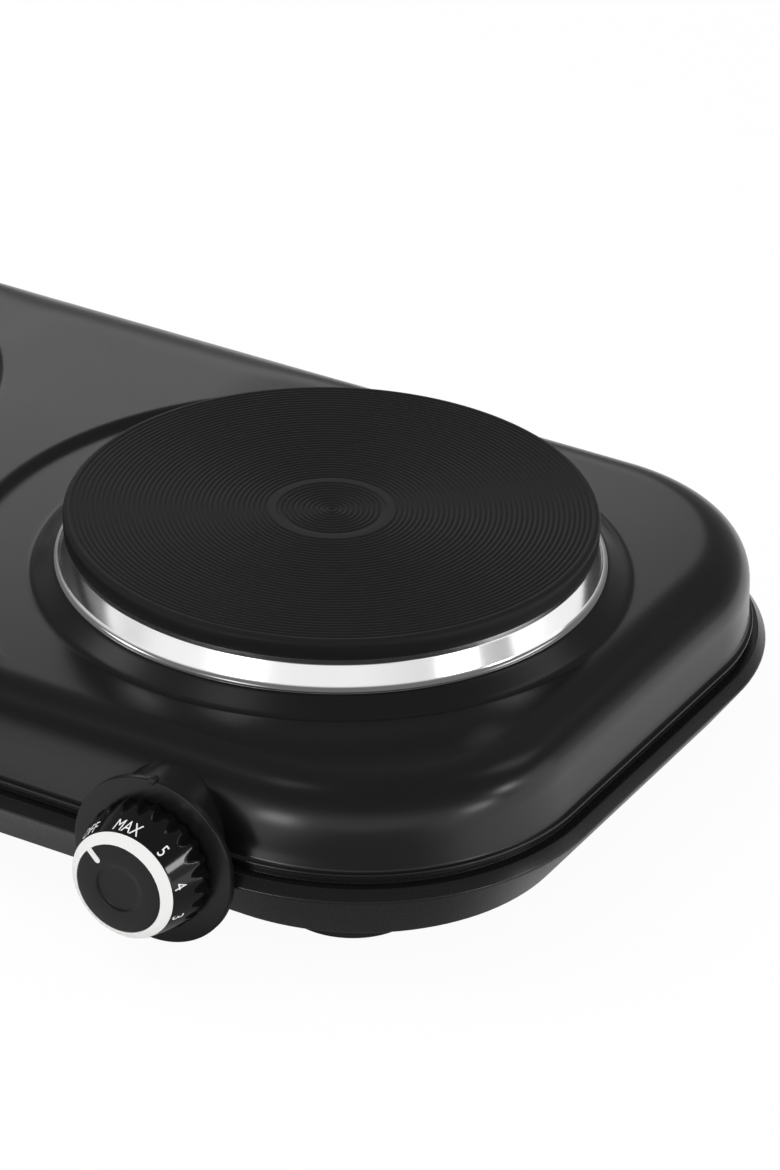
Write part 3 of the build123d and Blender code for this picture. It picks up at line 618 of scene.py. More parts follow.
class HOTPLATE_OT_make_pan(bpy.types.Operator):
    """Make the base pan with its stepped rim and vent slots"""
    bl_idname = "hotplate.make_pan"
    bl_label = "Base pan"

    def execute(self, context):
        mesh = pan_mesh(settings("pan"))
        place_piece("pan_shell", mesh, finish_of("pan"), BODY, ["base_pan"], crease=35.0)
        return {"FINISHED"}


# Node trees

def feed(tree, socket, value):
    """Links an input to a socket or a number, or sets its value."""
    value = value.socket if isinstance(value, Number) else value
    if isinstance(value, bpy.types.NodeSocket):
        tree.links.new(value, socket)
    else:
        socket.default_value = value


def node(tree, kind, feeds=None, **values):
    """New node with its properties; feeds gives its inputs by name or place."""
    made = tree.nodes.new(kind)
    for key, value in values.items():
        setattr(made, key, value)
    for key, value in (feeds or {}).items():
        feed(tree, made.inputs[key], value)
    return made


class Number:
    """Output socket that can be reckoned with: each operation adds a maths node."""

    def __init__(self, tree, socket):
        self.tree, self.socket = tree, socket

    def do(self, operation, *others, last=False):
        operands = (*others, self) if last else (self, *others)
        return Number(self.tree, node(self.tree, "ShaderNodeMath", dict(enumerate(operands)),
                                      operation=operation).outputs[0])

    def __add__(self, other):
        return self.do("ADD", other)

    def __sub__(self, other):
        return self.do("SUBTRACT", other)

    def __rsub__(self, other):
        return self.do("SUBTRACT", other, last=True)

    def __mul__(self, other):
        return self.do("MULTIPLY", other)

    def __truediv__(self, other):
        return self.do("DIVIDE", other)

    def __rtruediv__(self, other):
        return self.do("DIVIDE", other, last=True)


def inputs_of(tree):
    """Inputs of a node group by name."""
    enter = tree.nodes.new("NodeGroupInput")
    return {socket.name: Number(tree, socket) for socket in enter.outputs if socket.name}


def rule_tree(name, **kinds):
    """Empty geometry tree with inputs listed by kind; returns it with its inputs by name."""
    tree = bpy.data.node_groups.new(name, "GeometryNodeTree")
    tree.interface.new_socket("Geometry", in_out="OUTPUT", socket_type="NodeSocketGeometry")
    for kind, labels in kinds.items():
        for label in labels:
            tree.interface.new_socket(label, in_out="INPUT", socket_type="NodeSocket" + kind)
    return tree, inputs_of(tree)


def end_tree(tree, geometry, material):
    """Real geometry, one material, out."""
    real = node(tree, "GeometryNodeRealizeInstances", {0: geometry})
    paint = node(tree, "GeometryNodeSetMaterial", {0: real.outputs[0], "Material": material})
    node(tree, "NodeGroupOutput", {0: paint.outputs[0]})
    return tree


def baked(tree, values, points=()):
    """Runs a tree on a holder object and returns its result as a plain mesh."""
    mesh = bpy.data.meshes.new("holder")
    if points:
        mesh.from_pydata(points, [], [])
    holder = put("holder", mesh)
    rule = holder.modifiers.new("rule", "NODES")
    rule.node_group = tree
    for item in tree.interface.items_tree:
        if item.item_type == "SOCKET" and item.in_out == "INPUT" and item.name in values:
            rule[item.identifier] = values[item.name]
    return evaluated(holder)


def evaluated(holder):
    """Plain mesh of an object as it is shown; the object is then removed."""
    graph = bpy.context.evaluated_depsgraph_get()
    made = bpy.data.meshes.new_from_object(holder.evaluated_get(graph))
    bpy.data.objects.remove(holder)
    return made


def polar_grid(tree, use):
    """Grid of points with its two coordinates: 0 to 1 across, and a full turn."""
    sheet = node(tree, "GeometryNodeMeshGrid",
                 {"Size X": 1.0, "Size Y": 1.0, "Vertices X": use["Rings"], "Vertices Y": use["Steps"]})
    place = node(tree, "GeometryNodeInputPosition")
    split = node(tree, "ShaderNodeSeparateXYZ", {0: place.outputs[0]})
    along, turn = (Number(tree, split.outputs[axis]) + 0.5 for axis in (0, 1))
    return sheet.outputs[0], along, turn * math.tau


def wrapped(tree, sheet, radius, turn, height):
    """Moves a grid to polar places and closes its seam."""
    spot = node(tree, "ShaderNodeCombineXYZ",
                {0: radius * turn.do("COSINE"), 1: radius * turn.do("SINE"), 2: height})
    move = node(tree, "GeometryNodeSetPosition", {"Geometry": sheet, "Position": spot.outputs[0]})
    return node(tree, "GeometryNodeMergeByDistance", {0: move.outputs[0], "Distance": WELD}).outputs[0]


def smooth_step(tree, value, low, high, start=0.0, end=1.0):
    made = node(tree, "ShaderNodeMapRange", {"Value": value, "From Min": low, "From Max": high, "To Min": start,
                                             "To Max": end}, interpolation_type="SMOOTHSTEP")
    return Number(tree, made.outputs[0])


def grooved_disc_tree():
    """Cooking surface: turned grooves, a plain ring and a sunk middle."""
    tree, use = rule_tree("grooved_disc", Float=(
        "Radius", "Groove Pitch", "Groove Depth", "Groove End", "Centre", "Plain Ring", "Sink"),
        Int=("Rings", "Steps"), Material=("Material",))
    pitch, ring, centre, sink = (use[name] for name in ("Groove Pitch", "Plain Ring", "Centre", "Sink"))
    sharpness = 1.3
    sheet, along, turn = polar_grid(tree, use)
    radius = along * use["Radius"]
    middle = centre - pitch * 0.5
    outer_wave, inner_wave = (0.5 - ((radius - edge) / pitch * math.tau).do("COSINE") * 0.5
                              for edge in (ring, middle))
    outer = radius.do("GREATER_THAN", ring) * radius.do("LESS_THAN", use["Groove End"])
    wave = outer_wave * outer + inner_wave * radius.do("LESS_THAN", middle)
    cut = wave.do("POWER", sharpness) * use["Groove Depth"]
    sunk = sink * (1.0 - smooth_step(tree, radius, centre, centre + sink))
    return end_tree(tree, wrapped(tree, sheet, radius, turn, (cut + sunk) * -1.0), use["Material"])


def fluted_skirt_tree():
    """Tapered skirt with scallops that run out towards the face."""
    tree, use = rule_tree("fluted_skirt", Float=(
        "Back", "Straight", "Front", "Skirt Radius", "Face Radius", "Flute Radius", "Flute Axis"),
        Int=("Flutes", "Rings", "Steps"), Material=("Material",))
    back, straight, front, skirt = (use[name] for name in ("Back", "Straight", "Front", "Skirt Radius"))
    flute, axis, edge_share = use["Flute Radius"], use["Flute Axis"], 0.16
    sheet, along, turn = polar_grid(tree, use)
    height = back + along * (front - back)
    share = (height - straight) / (front - straight)
    plain = skirt - share.do("MAXIMUM", 0.0) * (skirt - use["Face Radius"])
    pitch = math.tau / use["Flutes"]
    swing = (turn + pitch * 0.5).do("FLOORED_MODULO", pitch) - pitch * 0.5
    aside = axis * swing.do("SINE")
    room = flute * flute - aside * aside
    cut = axis * swing.do("COSINE") - room.do("MAXIMUM", 0.0).do("SQRT")
    radius = plain.do("SMOOTH_MIN", cut, flute * edge_share)
    return end_tree(tree, wrapped(tree, sheet, radius, turn, height), use["Material"])


def screw_row_tree():
    """Sets a screw on every point."""
    tree, use = rule_tree("screw_row", Geometry=("Points",), Object=("Screw",), Material=("Material",))
    shape = node(tree, "GeometryNodeObjectInfo", {"Object": use["Screw"]})
    spread = node(tree, "GeometryNodeInstanceOnPoints",
                  {"Points": use["Points"], "Instance": shape.outputs["Geometry"]})
    return end_tree(tree, spread.outputs[0], use["Material"])


# Cooking plates

def plate_under(side, form):
    """Rim, seat, skirt and hub of a plate below its cooking surface, and the radius where they start."""
    r, edge = PLATE_R[side], form.edge
    start = r - edge - 0.1 * MM
    arc = [(r - edge + edge * math.sin(a), CROWN - edge + edge * math.cos(a))
           for a in np.linspace(0, math.pi / 2, 9)]
    lower = [(-0.2, -6.2), (-0.6, -6.6), (-6.5, -6.6), (-6.5, -19.0), (-11.0, -19.0), (-11.0, -9.5)]
    hub = [(14.0, -9.5), (14.0, -17.0), (4.1, -17.0), (4.1, -6.0), (0.0, -6.0)]
    profile = [(start, CROWN)] + arc + in_mm(lower, r) + in_mm(hub)
    return start, turned(profile, place=burner_frame(side), closed=False)


class HOTPLATE_OT_make_plates(bpy.types.Operator):
    """Make the cast plates with their turned grooves"""
    bl_idname = "hotplate.make_plates"
    bl_label = "Cooking plates"

    def execute(self, context):
        form, tree, iron = settings("plates"), grooved_disc_tree(), finish_of("iron")
        per_groove = 5
        for side in SIDES:
            start, under = plate_under(side, form)
            rings = int(round(start / (form.pitch / per_groove))) + 1
            grooves = math.floor((start - form.plain_ring) / form.pitch)
            disc = baked(tree, {
                "Radius": start, "Groove Pitch": form.pitch, "Groove Depth": form.depth, "Centre": form.centre,
                "Groove End": form.plain_ring + grooves * form.pitch, "Plain Ring": form.plain_ring,
                "Sink": form.sink, "Rings": rings, "Steps": AROUND + 1, "Material": iron})
            disc.transform(burner_frame(side) @ Matrix.Translation(Vector((0, 0, CROWN))))
            mesh = new_mesh("plate", *joined(taken(disc), under), weld=4e-6)
            place_piece(side + "_plate_casting", mesh, iron, BODY, [side + "_plate"], crease=50.0)
        return {"FINISHED"}


# Trim rings

def trim_profile(radius):
    """Flange under the plate, upright band, flare and rolled lip, then the inside."""
    outer = [(-6.3, -6.6), (-2.3, -6.6), (-1.5, -6.6), (-1.36, -6.64), (-1.3, -6.74), (-1.3, -6.85),
             (-1.3, -8.75), (-1.3, -8.85), (-1.2, -9.15), (-1.1, -9.44), (-0.5, -11.17), (0.3, -13.5),
             (1.0, -15.52), (1.2, -16.1), (1.75, -16.8), (2.3, -17.15), (2.75, -17.33), (2.95, -17.38),
             (3.0, -17.43), (2.95, -17.48)]
    inner = [(1.4, -17.48), (0.8, -16.8), (0.0, -15.2), (-0.88, -12.75), (-1.6, -10.6), (-2.1, -8.9),
             (-2.1, -7.8), (-2.6, -7.4), (-6.3, -7.4)]
    return in_mm(outer + inner, radius)


class HOTPLATE_OT_make_trim_rings(bpy.types.Operator):
    """Make the flared chromed rings between the plates and the collars"""
    bl_idname = "hotplate.make_trim_rings"
    bl_label = "Trim rings"

    def execute(self, context):
        chrome = finish_of("chrome")
        for side in SIDES:
            mesh = new_mesh("trim", *turned(trim_profile(PLATE_R[side]), 288, burner_frame(side)))
            place_piece(side + "_chrome_ring", mesh, chrome, BODY, [side + "_trim_ring"],
                        crease=50.0)
        return {"FINISHED"}


# Controls

def front_section():
    """(Inset, height) rows of the front of the body, from the pan floor up over the fold."""
    skin = settings("housing")
    rows = [(inset, height) for inset, height, _ in pan_rows(settings("pan"))[:-PAN_INSIDE]]
    foot = EDGE_Z - skin.fold_drop - skin.front_roll
    rows += [(inset, height + share * (foot - height))
             for inset, share, height, _ in reversed(wall_profile(skin)[:WALL_OUTSIDE])]
    rows += [(skin.wall_inset + skin.fold_across * (1 - math.sin(t)),
              foot + (EDGE_Z - skin.well_drop - foot) * fold_curve(math.sin(t), skin))
             for t in np.linspace(math.pi / 2, 0, 20)]
    return rows


def wall_face(z, rows):
    """How far forward a section stands at a height, as a Y value."""
    best = 1.0
    for (s0, z0), (s1, z1) in zip(rows, rows[1:]):
        if min(z0, z1) <= z <= max(z0, z1) and abs(z1 - z0) > 1e-9:
            best = min(best, s0 + (s1 - s0) * (z - z0) / (z1 - z0))
    return BODY_Y - LIP_HALF[1] + best


def boss_mesh(side, form):
    """Boss behind the bezel, its rear edge cut to meet the body."""
    steps, thick, front, sink = 160, 2.4 * MM, -2.3 * MM, 0.1 * MM
    rows = []
    angles, section = round_angles(steps), front_section()
    for radius, order in ((form.boss_r, 1), (form.boss_r - thick, -1)):
        along, up = radius * np.cos(angles), form.boss_up + radius * np.sin(angles)
        back = [AXIS[side].y - wall_face(AXIS[side].z + height, section) + sink for height in up]
        rows += [np.column_stack([along, up, depth]) for depth in (np.full(steps, front), back)][::order]
    rows.append(rows[0])
    return placed(np.concatenate(rows), control_frame(side)), grid_faces(len(rows), steps)


class HOTPLATE_OT_make_bezels(bpy.types.Operator):
    """Make the round bezels with their bosses and index bumps"""
    bl_idname = "hotplate.make_bezels"
    bl_label = "Bezels"

    def execute(self, context):
        form, finish = settings("controls"), finish_of("bezel")
        r, bore, back = form.bezel_r, 3.6 * MM, -2.5 * MM
        profile = eased([(bore, 0.0), (r, 0.0), (r, back), (bore, back)], [0.2, 0.55, 0.35, 0])
        bump = eased(in_mm([(0.0, 0.5), (1.3, 0.5), (1.3, -2.5), (0.0, -2.5)]), [0.4] * 4)
        for side in SIDES:
            place = control_frame(side)
            nub = place @ Matrix.Translation(Vector((0, r, 0)))
            mesh = new_mesh("bezel", *joined(turned(profile, 192, place), turned(bump, 24, nub),
                                             boss_mesh(side, form)))
            place_piece(side + "_bezel_disc", mesh, finish, BODY, [side + "_bezel"])
        return {"FINISHED"}


def extend_rim(work, height, profile):
    """Carries an open round edge on along a (radius, height) profile in the local frame."""
    edges = [edge for edge in work.edges if edge.is_boundary and
             all(abs(vertex.co.z - height) < 1e-6 for vertex in edge.verts)]
    for radius, level in profile:
        made = bmesh.ops.extrude_edge_only(work, edges=edges)["geom"]
        for vertex in (item for item in made if isinstance(item, bmesh.types.BMVert)):
            angle = math.atan2(vertex.co.y, vertex.co.x)
            vertex.co = (radius * math.cos(angle), radius * math.sin(angle), level)
        edges = [item for item in made if isinstance(item, bmesh.types.BMEdge)]


# Back of the knob, end of its straight part, front of its flutes and seat of its ring, in front of the bezel
KNOB_BACK, KNOB_STRAIGHT, KNOB_FRONT, KNOB_SEAT = 1.5 * MM, 5.0 * MM, 17.5 * MM, 17.9 * MM


def knob_mesh(form, tree, finish):
    """Fluted skirt from its rule, with the hollow back, hub and face added."""
    taper = (form.skirt_r - form.face_r) * (KNOB_FRONT - KNOB_STRAIGHT) / (KNOB_SEAT - KNOB_STRAIGHT)
    mesh = baked(tree, {
        "Back": KNOB_BACK, "Straight": KNOB_STRAIGHT, "Front": KNOB_FRONT, "Skirt Radius": form.skirt_r,
        "Face Radius": form.skirt_r - taper, "Flutes": form.flutes, "Flute Radius": form.flute_r,
        "Flute Axis": form.flute_axis, "Rings": 44, "Steps": form.flutes * FLUTE_STEPS + 1, "Material": finish})
    work = opened(mesh)
    ease = 0.1 * MM
    face = [(form.face_r, KNOB_SEAT - ease), (form.face_r - ease, KNOB_SEAT), (4.0 * MM, KNOB_SEAT),
            (0.0, KNOB_SEAT)]
    hollow = [(19.8, 1.5), (19.8, 7.0), (17.2, 14.5), (6.2, 14.5), (6.2, 1.5), (3.1, 1.5), (3.1, 13.0),
              (0.0, 13.0)]
    extend_rim(work, KNOB_FRONT, face)
    extend_rim(work, KNOB_BACK, in_mm(hollow))
    welded(work)
    return settled(work, mesh)


def ring_parts(form):
    """Bevelled ring and its pointer tick."""
    section = in_mm([(16.0, 17.9), (19.35, 17.9), (19.35, 18.2), (16.0, 20.9)])
    half, inner, outer = 1.1 * MM, 11.6 * MM, 16.5 * MM
    loop = [(outer, -half), (outer, half)]
    loop += [(inner - half * math.sin(a), half * math.cos(a)) for a in np.linspace(0, math.pi, 13)]
    points, count = [], len(loop)
    for shrink, height in in_mm([(0.0, 17.9), (0.0, 20.72), (0.15, 20.9)]):
        scale = 1 - shrink / half
        points += [(inner + (x - inner) * scale, y * scale, height) for x, y in loop]
    faces = grid_faces(3, count) + [tuple(range(count))[::-1], tuple(range(2 * count, 3 * count))]
    spin = np.array(Matrix.Rotation(form.tick, 3, "Z"))
    return turned(eased(section, [0, 0, 0.3, 0.3]), 192), (np.array(points) @ spin.T, faces)


def cap_profile():
    """Face disc with a soft finger dimple."""
    rim = [(0.0, 17.9), (15.9, 17.9), (15.9, 20.35), (15.8, 20.6), (15.55, 20.7)]
    dish = [(9.2, 20.7), (8.75, 20.68), (8.5, 20.6), (8.3, 20.45), (8.1, 20.2), (7.9, 20.02), (7.6, 19.9),
            (7.1, 19.83), (6.4, 19.8), (4.0, 19.8), (0.0, 19.8)]
    return in_mm(rim + dish)


class HOTPLATE_OT_make_knobs(bpy.types.Operator):
    """Make the fluted knobs with their rings, ticks and caps"""
    bl_idname = "hotplate.make_knobs"
    bl_label = "Knobs"

    def execute(self, context):
        form, tree = settings("controls"), fluted_skirt_tree()
        polished, white, satin = finish_of("knob"), finish_of("white"), finish_of("cap")
        for side in SIDES:
            knob = knob_mesh(form, tree, polished)
            ring = new_mesh("ring", *joined(*ring_parts(form)))
            cap = new_mesh("cap", *turned(cap_profile(), 128))
            for mesh in (knob, ring, cap):
                mesh.transform(control_frame(side))
            body = side + "_control"
            place_piece(side + "_fluted_knob", knob, polished, body, [side + "_knob"], crease=55.0)
            place_piece(side + "_pointer_ring", ring, white, body, [side + "_knob_ring"],
                        crease=35.0)
            place_piece(side + "_dimpled_cap", cap, satin, body, [side + "_knob_cap"])
        return {"FINISHED"}


# Words and figures with their bearings in degrees on the skirt
MARKS = (("OFF", 136), ("MAX", 90.6), ("5", 49.4), ("4", 12.3), ("3", -22), ("2", -62), ("1", -100), ("MIN", -140))
# Baseline in front of the bezel, half thickness, gap to the skirt and longest edge
MARK_FOOT, MARK_HALF, MARK_GAP, MARK_STEP = 16.8 * MM, 0.0325 * MM, 0.0025 * MM, 0.7 * MM
MARK_SQUEEZE, CAPITAL = 0.64, 0.69  # narrowing of the letters; height of a capital for each unit of text size


def mark_mesh(text, angle, form):
    """Printed word or figure laid on the tapered skirt."""
    curve = bpy.data.curves.new("mark", "FONT")
    curve.body = text
    curve.size = form.mark_size / CAPITAL
    curve.align_x, curve.align_y = "CENTER", "BOTTOM_BASELINE"
    curve.resolution_u = 4
    curve.extrude = MARK_HALF
    mesh = evaluated(put("mark", curve))
    bpy.data.curves.remove(curve)
    work = opened(mesh)
    welded(work, 1e-6)
    for _ in range(4):
        long = [edge for edge in work.edges if edge.calc_length() > MARK_STEP]
        bmesh.ops.subdivide_edges(work, edges=long, cuts=1)
        bmesh.ops.triangulate(work, faces=work.faces[:])
    slope = (form.skirt_r - form.face_r) / (KNOB_SEAT - KNOB_STRAIGHT)
    for vertex in work.verts:
        height = MARK_FOOT - vertex.co.y
        radius = form.skirt_r - slope * (height - KNOB_STRAIGHT) + MARK_GAP + vertex.co.z
        turn = math.radians(angle) - vertex.co.x * MARK_SQUEEZE / radius
        vertex.co = (radius * math.cos(turn), radius * math.sin(turn), height)
    return settled(work, mesh)


class HOTPLATE_OT_make_marks(bpy.types.Operator):
    """Print the generic heat settings on the knob skirts"""
    bl_idname = "hotplate.make_marks"
    bl_label = "Knob marks"

    def execute(self, context):
        form, white = settings("controls"), finish_of("print")
        for side in SIDES:
            points, faces = joined(*[taken(mark_mesh(text, angle, form)) for text, angle in MARKS])
            mesh = bpy.data.meshes.new("marks")
            mesh.from_pydata(points.tolist(), [], faces)
            mesh.transform(control_frame(side))
            place_piece(side + "_knob_marks", mesh, white, side + "_control")
        return {"FINISHED"}


# Feet, screws and gland

FEET = ("front_right_foot", "front_left_foot", "rear_right_foot", "rear_left_foot")
FOOT_SEAT, BASE_SEAT = 4 * MM, 4 * MM  # screw seats below and above the pan floor


class HOTPLATE_OT_make_feet(bpy.types.Operator):
    """Make the round rubber feet"""
    bl_idname = "hotplate.make_feet"
    bl_label = "Feet"

    def execute(self, context):
        rubber = finish_of("rubber")
        well, hole, seat = 4.6 * MM, 1.7 * MM, FLOOR_Z - FOOT_SEAT
        for name in FEET:
            low, high = BOX[name]
            middle = (low + high) / 2
            r = (high.x - low.x) / 2
            section = [(well, 0.0), (r - 0.6 * MM, 0.0), (r, FLOOR_Z), (hole, FLOOR_Z), (hole, seat), (well, seat)]
            profile = eased(section, [0.5, 1.5, 0.3, 0, 0, 0.2])
            place = Matrix.Translation(Vector((middle.x, middle.y, 0)))
            mesh = new_mesh("foot", *turned(profile, 96, place))
            place_piece(name.replace("_foot", "_tread"), mesh, rubber, BODY, [name])
        return {"FINISHED"}


def screw_mesh(length):
    """Pan-head screw with a cross recess, its head down and its seat at zero."""
    head = [(0.0, -1.2), (0.5, -2.15), (1.2, -2.2), (2.1, -2.16), (2.9, -1.9), (3.4, -1.35), (3.6, -0.7),
            (3.6, 0.0)]
    shank = [(1.5, 0.0), (1.5, length - 1.5), (0.4, length), (0.0, length)]
    points, faces = turned(in_mm(head + shank), 40, closed=False)
    x, y, z = points.T
    slot_half, slot_reach, crown, slot_floor = 0.45 * MM, 2.2 * MM, -1.9 * MM, -1.3 * MM
    crossing = np.minimum(np.abs(x), np.abs(y)) < slot_half
    z[crossing & (np.hypot(x, y) < slot_reach) & (z < crown)] = slot_floor
    return new_mesh("screw", points, faces)


class HOTPLATE_OT_make_screws(bpy.types.Operator):
    """Set the base and foot screws"""
    bl_idname = "hotplate.make_screws"
    bl_label = "Screws"

    def execute(self, context):
        steel, tree = finish_of("zinc"), screw_row_tree()
        feet = [(BOX[name][0] + BOX[name][1]) / 2 for name in FEET]
        rows = (("base_screws", [(x, y, FLOOR_Z + BASE_SEAT) for x, y in screw_places()], 30.0),
                ("foot_screws", [(p.x, p.y, FLOOR_Z - FOOT_SEAT) for p in feet], 13.0))
        for name, places, length in rows:
            screw = put("screw", screw_mesh(length))
            mesh = baked(tree, {"Screw": screw, "Material": steel}, places)
            bpy.data.objects.remove(screw)
            place_piece(name.replace("screws", "screw_row"), mesh, steel, BODY, [name], crease=35.0)
        return {"FINISHED"}


class HOTPLATE_OT_make_gland(bpy.types.Operator):
    """Make the bushing where the supply cord comes in, and its pad"""
    bl_idname = "hotplate.make_gland"
    bl_label = "Cord gland"

    def execute(self, context):
        low, high = BOX["cord_gland"]
        middle, depth = (low + high) / 2, high.y - low.y
        flange = (high.x - low.x) / 2
        bore, sleeve = flange - 3.75 * MM, flange - 2.0 * MM
        face, gap, latch = -1.4 * MM, 0.1 * MM, 3 * MM - depth
        section = [(bore, 0.0), (flange, 0.0), (flange, face + gap), (sleeve, face + gap), (sleeve, latch),
                   (sleeve + 1.4 * MM, latch), (sleeve + 0.9 * MM, -depth), (bore, -depth)]
        bushing = eased(section, [0.6, 0.6, 0.1, 0, 0, 0.3, 0.3, 0])
        hole, rim = sleeve + gap, flange + 1.1 * MM
        pad = eased([(hole, face), (rim, face), (rim, latch), (hole, latch)], [0.1, 0.6, 0, 0])
        turn = Matrix(((1, 0, 0), (0, 0, 1), (0, -1, 0))).to_4x4()
        place = Matrix.Translation(Vector((middle.x, high.y, middle.z))) @ turn
        mesh = new_mesh("gland", *turned(bushing, 96, place))
        place_piece("cord_bushing", mesh, finish_of("gland"), BODY, ["cord_gland"])
        mesh = new_mesh("pad", *turned(pad, 96, place))
        place_piece("gland_pad", mesh, finish_of("pan"), BODY)
        return {"FINISHED"}


class HOTPLATE_OT_dress_inner(bpy.types.Operator):
    """Give the inner parts their finishes"""
    bl_idname = "hotplate.dress_inner"
    bl_label = "Inner parts"

    def execute(self, context):
        by_slot = {"zinc_steel": finish_of("zinc"), "ceramic_white": finish_of("ceramic"),
                   "element_compound": finish_of("compound"), "thermostat_resin": finish_of("resin")}
        for entry in frame["record"]["subparts"]:
            finish = by_slot.get(entry["material_slot"])
            part = frame["nodes"][entry["node"]]
            if finish is not None and not part.hide_render:
                part.data.materials.clear()
                part.data.materials.append(finish)
        return {"FINISHED"}


# Finishes

def group_tree(name, inputs, outputs):
    """Shader group; returns it with its inputs by name."""
    tree = bpy.data.node_groups.new(name, "ShaderNodeTree")
    for label, (kind, value) in inputs.items():
        socket = tree.interface.new_socket(label, in_out="INPUT", socket_type="NodeSocket" + kind)
        socket.default_value = value
    for label, kind in outputs.items():
        tree.interface.new_socket(label, in_out="OUTPUT", socket_type="NodeSocket" + kind)
    return tree, inputs_of(tree)


def grain_group():
    """Fine surface grain: a height for bump, a varied roughness and a varied colour."""
    known = bpy.data.node_groups.get("surface_grain")
    if known:
        return known
    tree, use = group_tree("surface_grain", {
        "Colour": ("Color", (0.02, 0.02, 0.02, 1)), "Grain Scale": ("Float", 900.0),
        "Cloud Scale": ("Float", 14.0), "Roughness": ("Float", 0.35), "Spread": ("Float", 0.06),
        "Tone Spread": ("Float", 0.10)},
        {"Colour": "Color", "Roughness": "Float", "Height": "Float"})
    spot = node(tree, "ShaderNodeTexCoord").outputs["Object"]
    grain, cloud = (Number(tree, node(tree, "ShaderNodeTexNoise", {
        "Vector": spot, "Scale": use[scale], "Detail": detail}).outputs["Fac"])
        for scale, detail in (("Grain Scale", 3.0), ("Cloud Scale", 4.0)))
    vary = (cloud - 0.5) + (grain - 0.5)
    tone = node(tree, "ShaderNodeVectorMath", {0: use["Colour"], "Scale": use["Tone Spread"] * vary + 1.0},
                operation="SCALE")
    node(tree, "NodeGroupOutput", {"Colour": tone.outputs[0], "Roughness": use["Roughness"] + use["Spread"] * vary,
                                   "Height": grain})
    return tree


def grained(name, tone, roughness, specular=0.5, metallic=0.0, grain=900.0, spread=0.06, tone_spread=0.10,
            bump=0.05, depth=0.05):
    """Principled finish with the shared grain; constants sit on the shader itself."""
    known = bpy.data.materials.get(name)
    if known:
        return known
    finish = bpy.data.materials.new(name)
    finish.use_nodes = True
    tree = finish.node_tree
    texture = node(tree, "ShaderNodeGroup", node_tree=grain_group())
    for label, value in {"Colour": (*tone, 1), "Grain Scale": grain, "Roughness": roughness, "Spread": spread,
                         "Tone Spread": tone_spread}.items():
        feed(tree, texture.inputs[label], value)
    raised = node(tree, "ShaderNodeBump", {"Strength": bump, "Distance": depth * MM,
                                           "Height": texture.outputs["Height"]})
    shader = tree.nodes["Principled BSDF"]
    for label, value in {"Metallic": metallic, "Specular IOR Level": specular, "Normal": raised.outputs["Normal"],
                         "Base Color": texture.outputs["Colour"],
                         "Roughness": texture.outputs["Roughness"]}.items():
        feed(tree, shader.inputs[label], value)
    return finish


# Material name, colour or the name of its setting, roughness, and what differs from the plain grain
FINISHES = {
    "enamel": ("satin_enamel", "enamel", 0.25, dict(specular=0.45, grain=1400.0, bump=0.10, depth=0.03)),
    "pan": ("moulded_black", "pan", 0.27, dict(specular=0.42, grain=2200.0, bump=0.12, depth=0.03)),
    "iron": ("coated_iron", "iron", 0.42, dict(specular=0.10, grain=1800.0, bump=0.25, tone_spread=0.25)),
    "chrome": ("polished_chrome", "chrome", 0.14, dict(metallic=1.0, grain=500.0, spread=0.03, tone_spread=0.03,
                                                       bump=0.02, depth=0.02)),
    "knob": ("polished_black", "knob", 0.11, dict(grain=700.0, spread=0.04, bump=0.03, depth=0.02)),
    "white": ("white_ring", "white", 0.34, dict(tone_spread=0.03, bump=0.04, depth=0.03)),
    "print": ("white_print", "white", 0.5, dict(specular=0.3, grain=3000.0, tone_spread=0.05, depth=0.02)),
    "cap": ("satin_cap", "cap", 0.30, dict(specular=0.20, grain=2600.0, bump=0.12, depth=0.03)),
    "bezel": ("satin_bezel", "bezel", 0.26, dict(specular=0.30, grain=2400.0, bump=0.08, depth=0.03)),
    "rubber": ("foot_rubber", (0.016, 0.016, 0.016), 0.6, dict(specular=0.3, grain=2600.0, bump=0.3)),
    "gland": ("gland_black", (0.017, 0.017, 0.017), 0.5, dict(specular=0.35, grain=2600.0, bump=0.2, depth=0.04)),
    "zinc": ("zinc_plate", (0.52, 0.53, 0.54), 0.32, dict(metallic=1.0, grain=1600.0, spread=0.15, tone_spread=0.2,
                                                          bump=0.15, depth=0.04)),
    "ceramic": ("fired_ceramic", (0.78, 0.76, 0.71), 0.55, dict(grain=1500.0, tone_spread=0.08, bump=0.2)),
    "compound": ("insulating_compound", (0.52, 0.49, 0.44), 0.85, dict(specular=0.2, grain=600.0, tone_spread=0.3,
                                                                       bump=0.6, depth=0.2)),
    "resin": ("moulded_resin", (0.09, 0.07, 0.06), 0.4, dict(grain=1500.0, bump=0.1, depth=0.04)),
}


def finish_of(name):
    label, tone, roughness, grain = FINISHES[name]
    tone = getattr(settings("finishes"), tone) if isinstance(tone, str) else tone
    return grained(label, tone, roughness, **grain)


# Stage

def ray_kinds(tree):
    """Three tests, 1 or 0: rays from the camera, off mirrored surfaces, and off mirrored or through clear ones."""
    path = node(tree, "ShaderNodeLightPath")
    camera, glossy, clear = (Number(tree, path.outputs["Is %s Ray" % kind])
                             for kind in ("Camera", "Glossy", "Transmission"))
    return camera, glossy, glossy.do("MAXIMUM", clear)


FLOOR_TONE, FLOOR_PAINTED_SHADE = 0.95, 0.15  # plain floor, and its darkest painted shade in mirrored surfaces
FLOOR_HEADING = (0.559, -0.829, 0)  # from the right burner towards the camera
FLOOR_FADE = (0.86, 0.985)  # cosines off that heading between which the painted shade of the mirrored floor sets in
FLOOR_MIRROR = 0.12  # share of plain white in mirrored surfaces


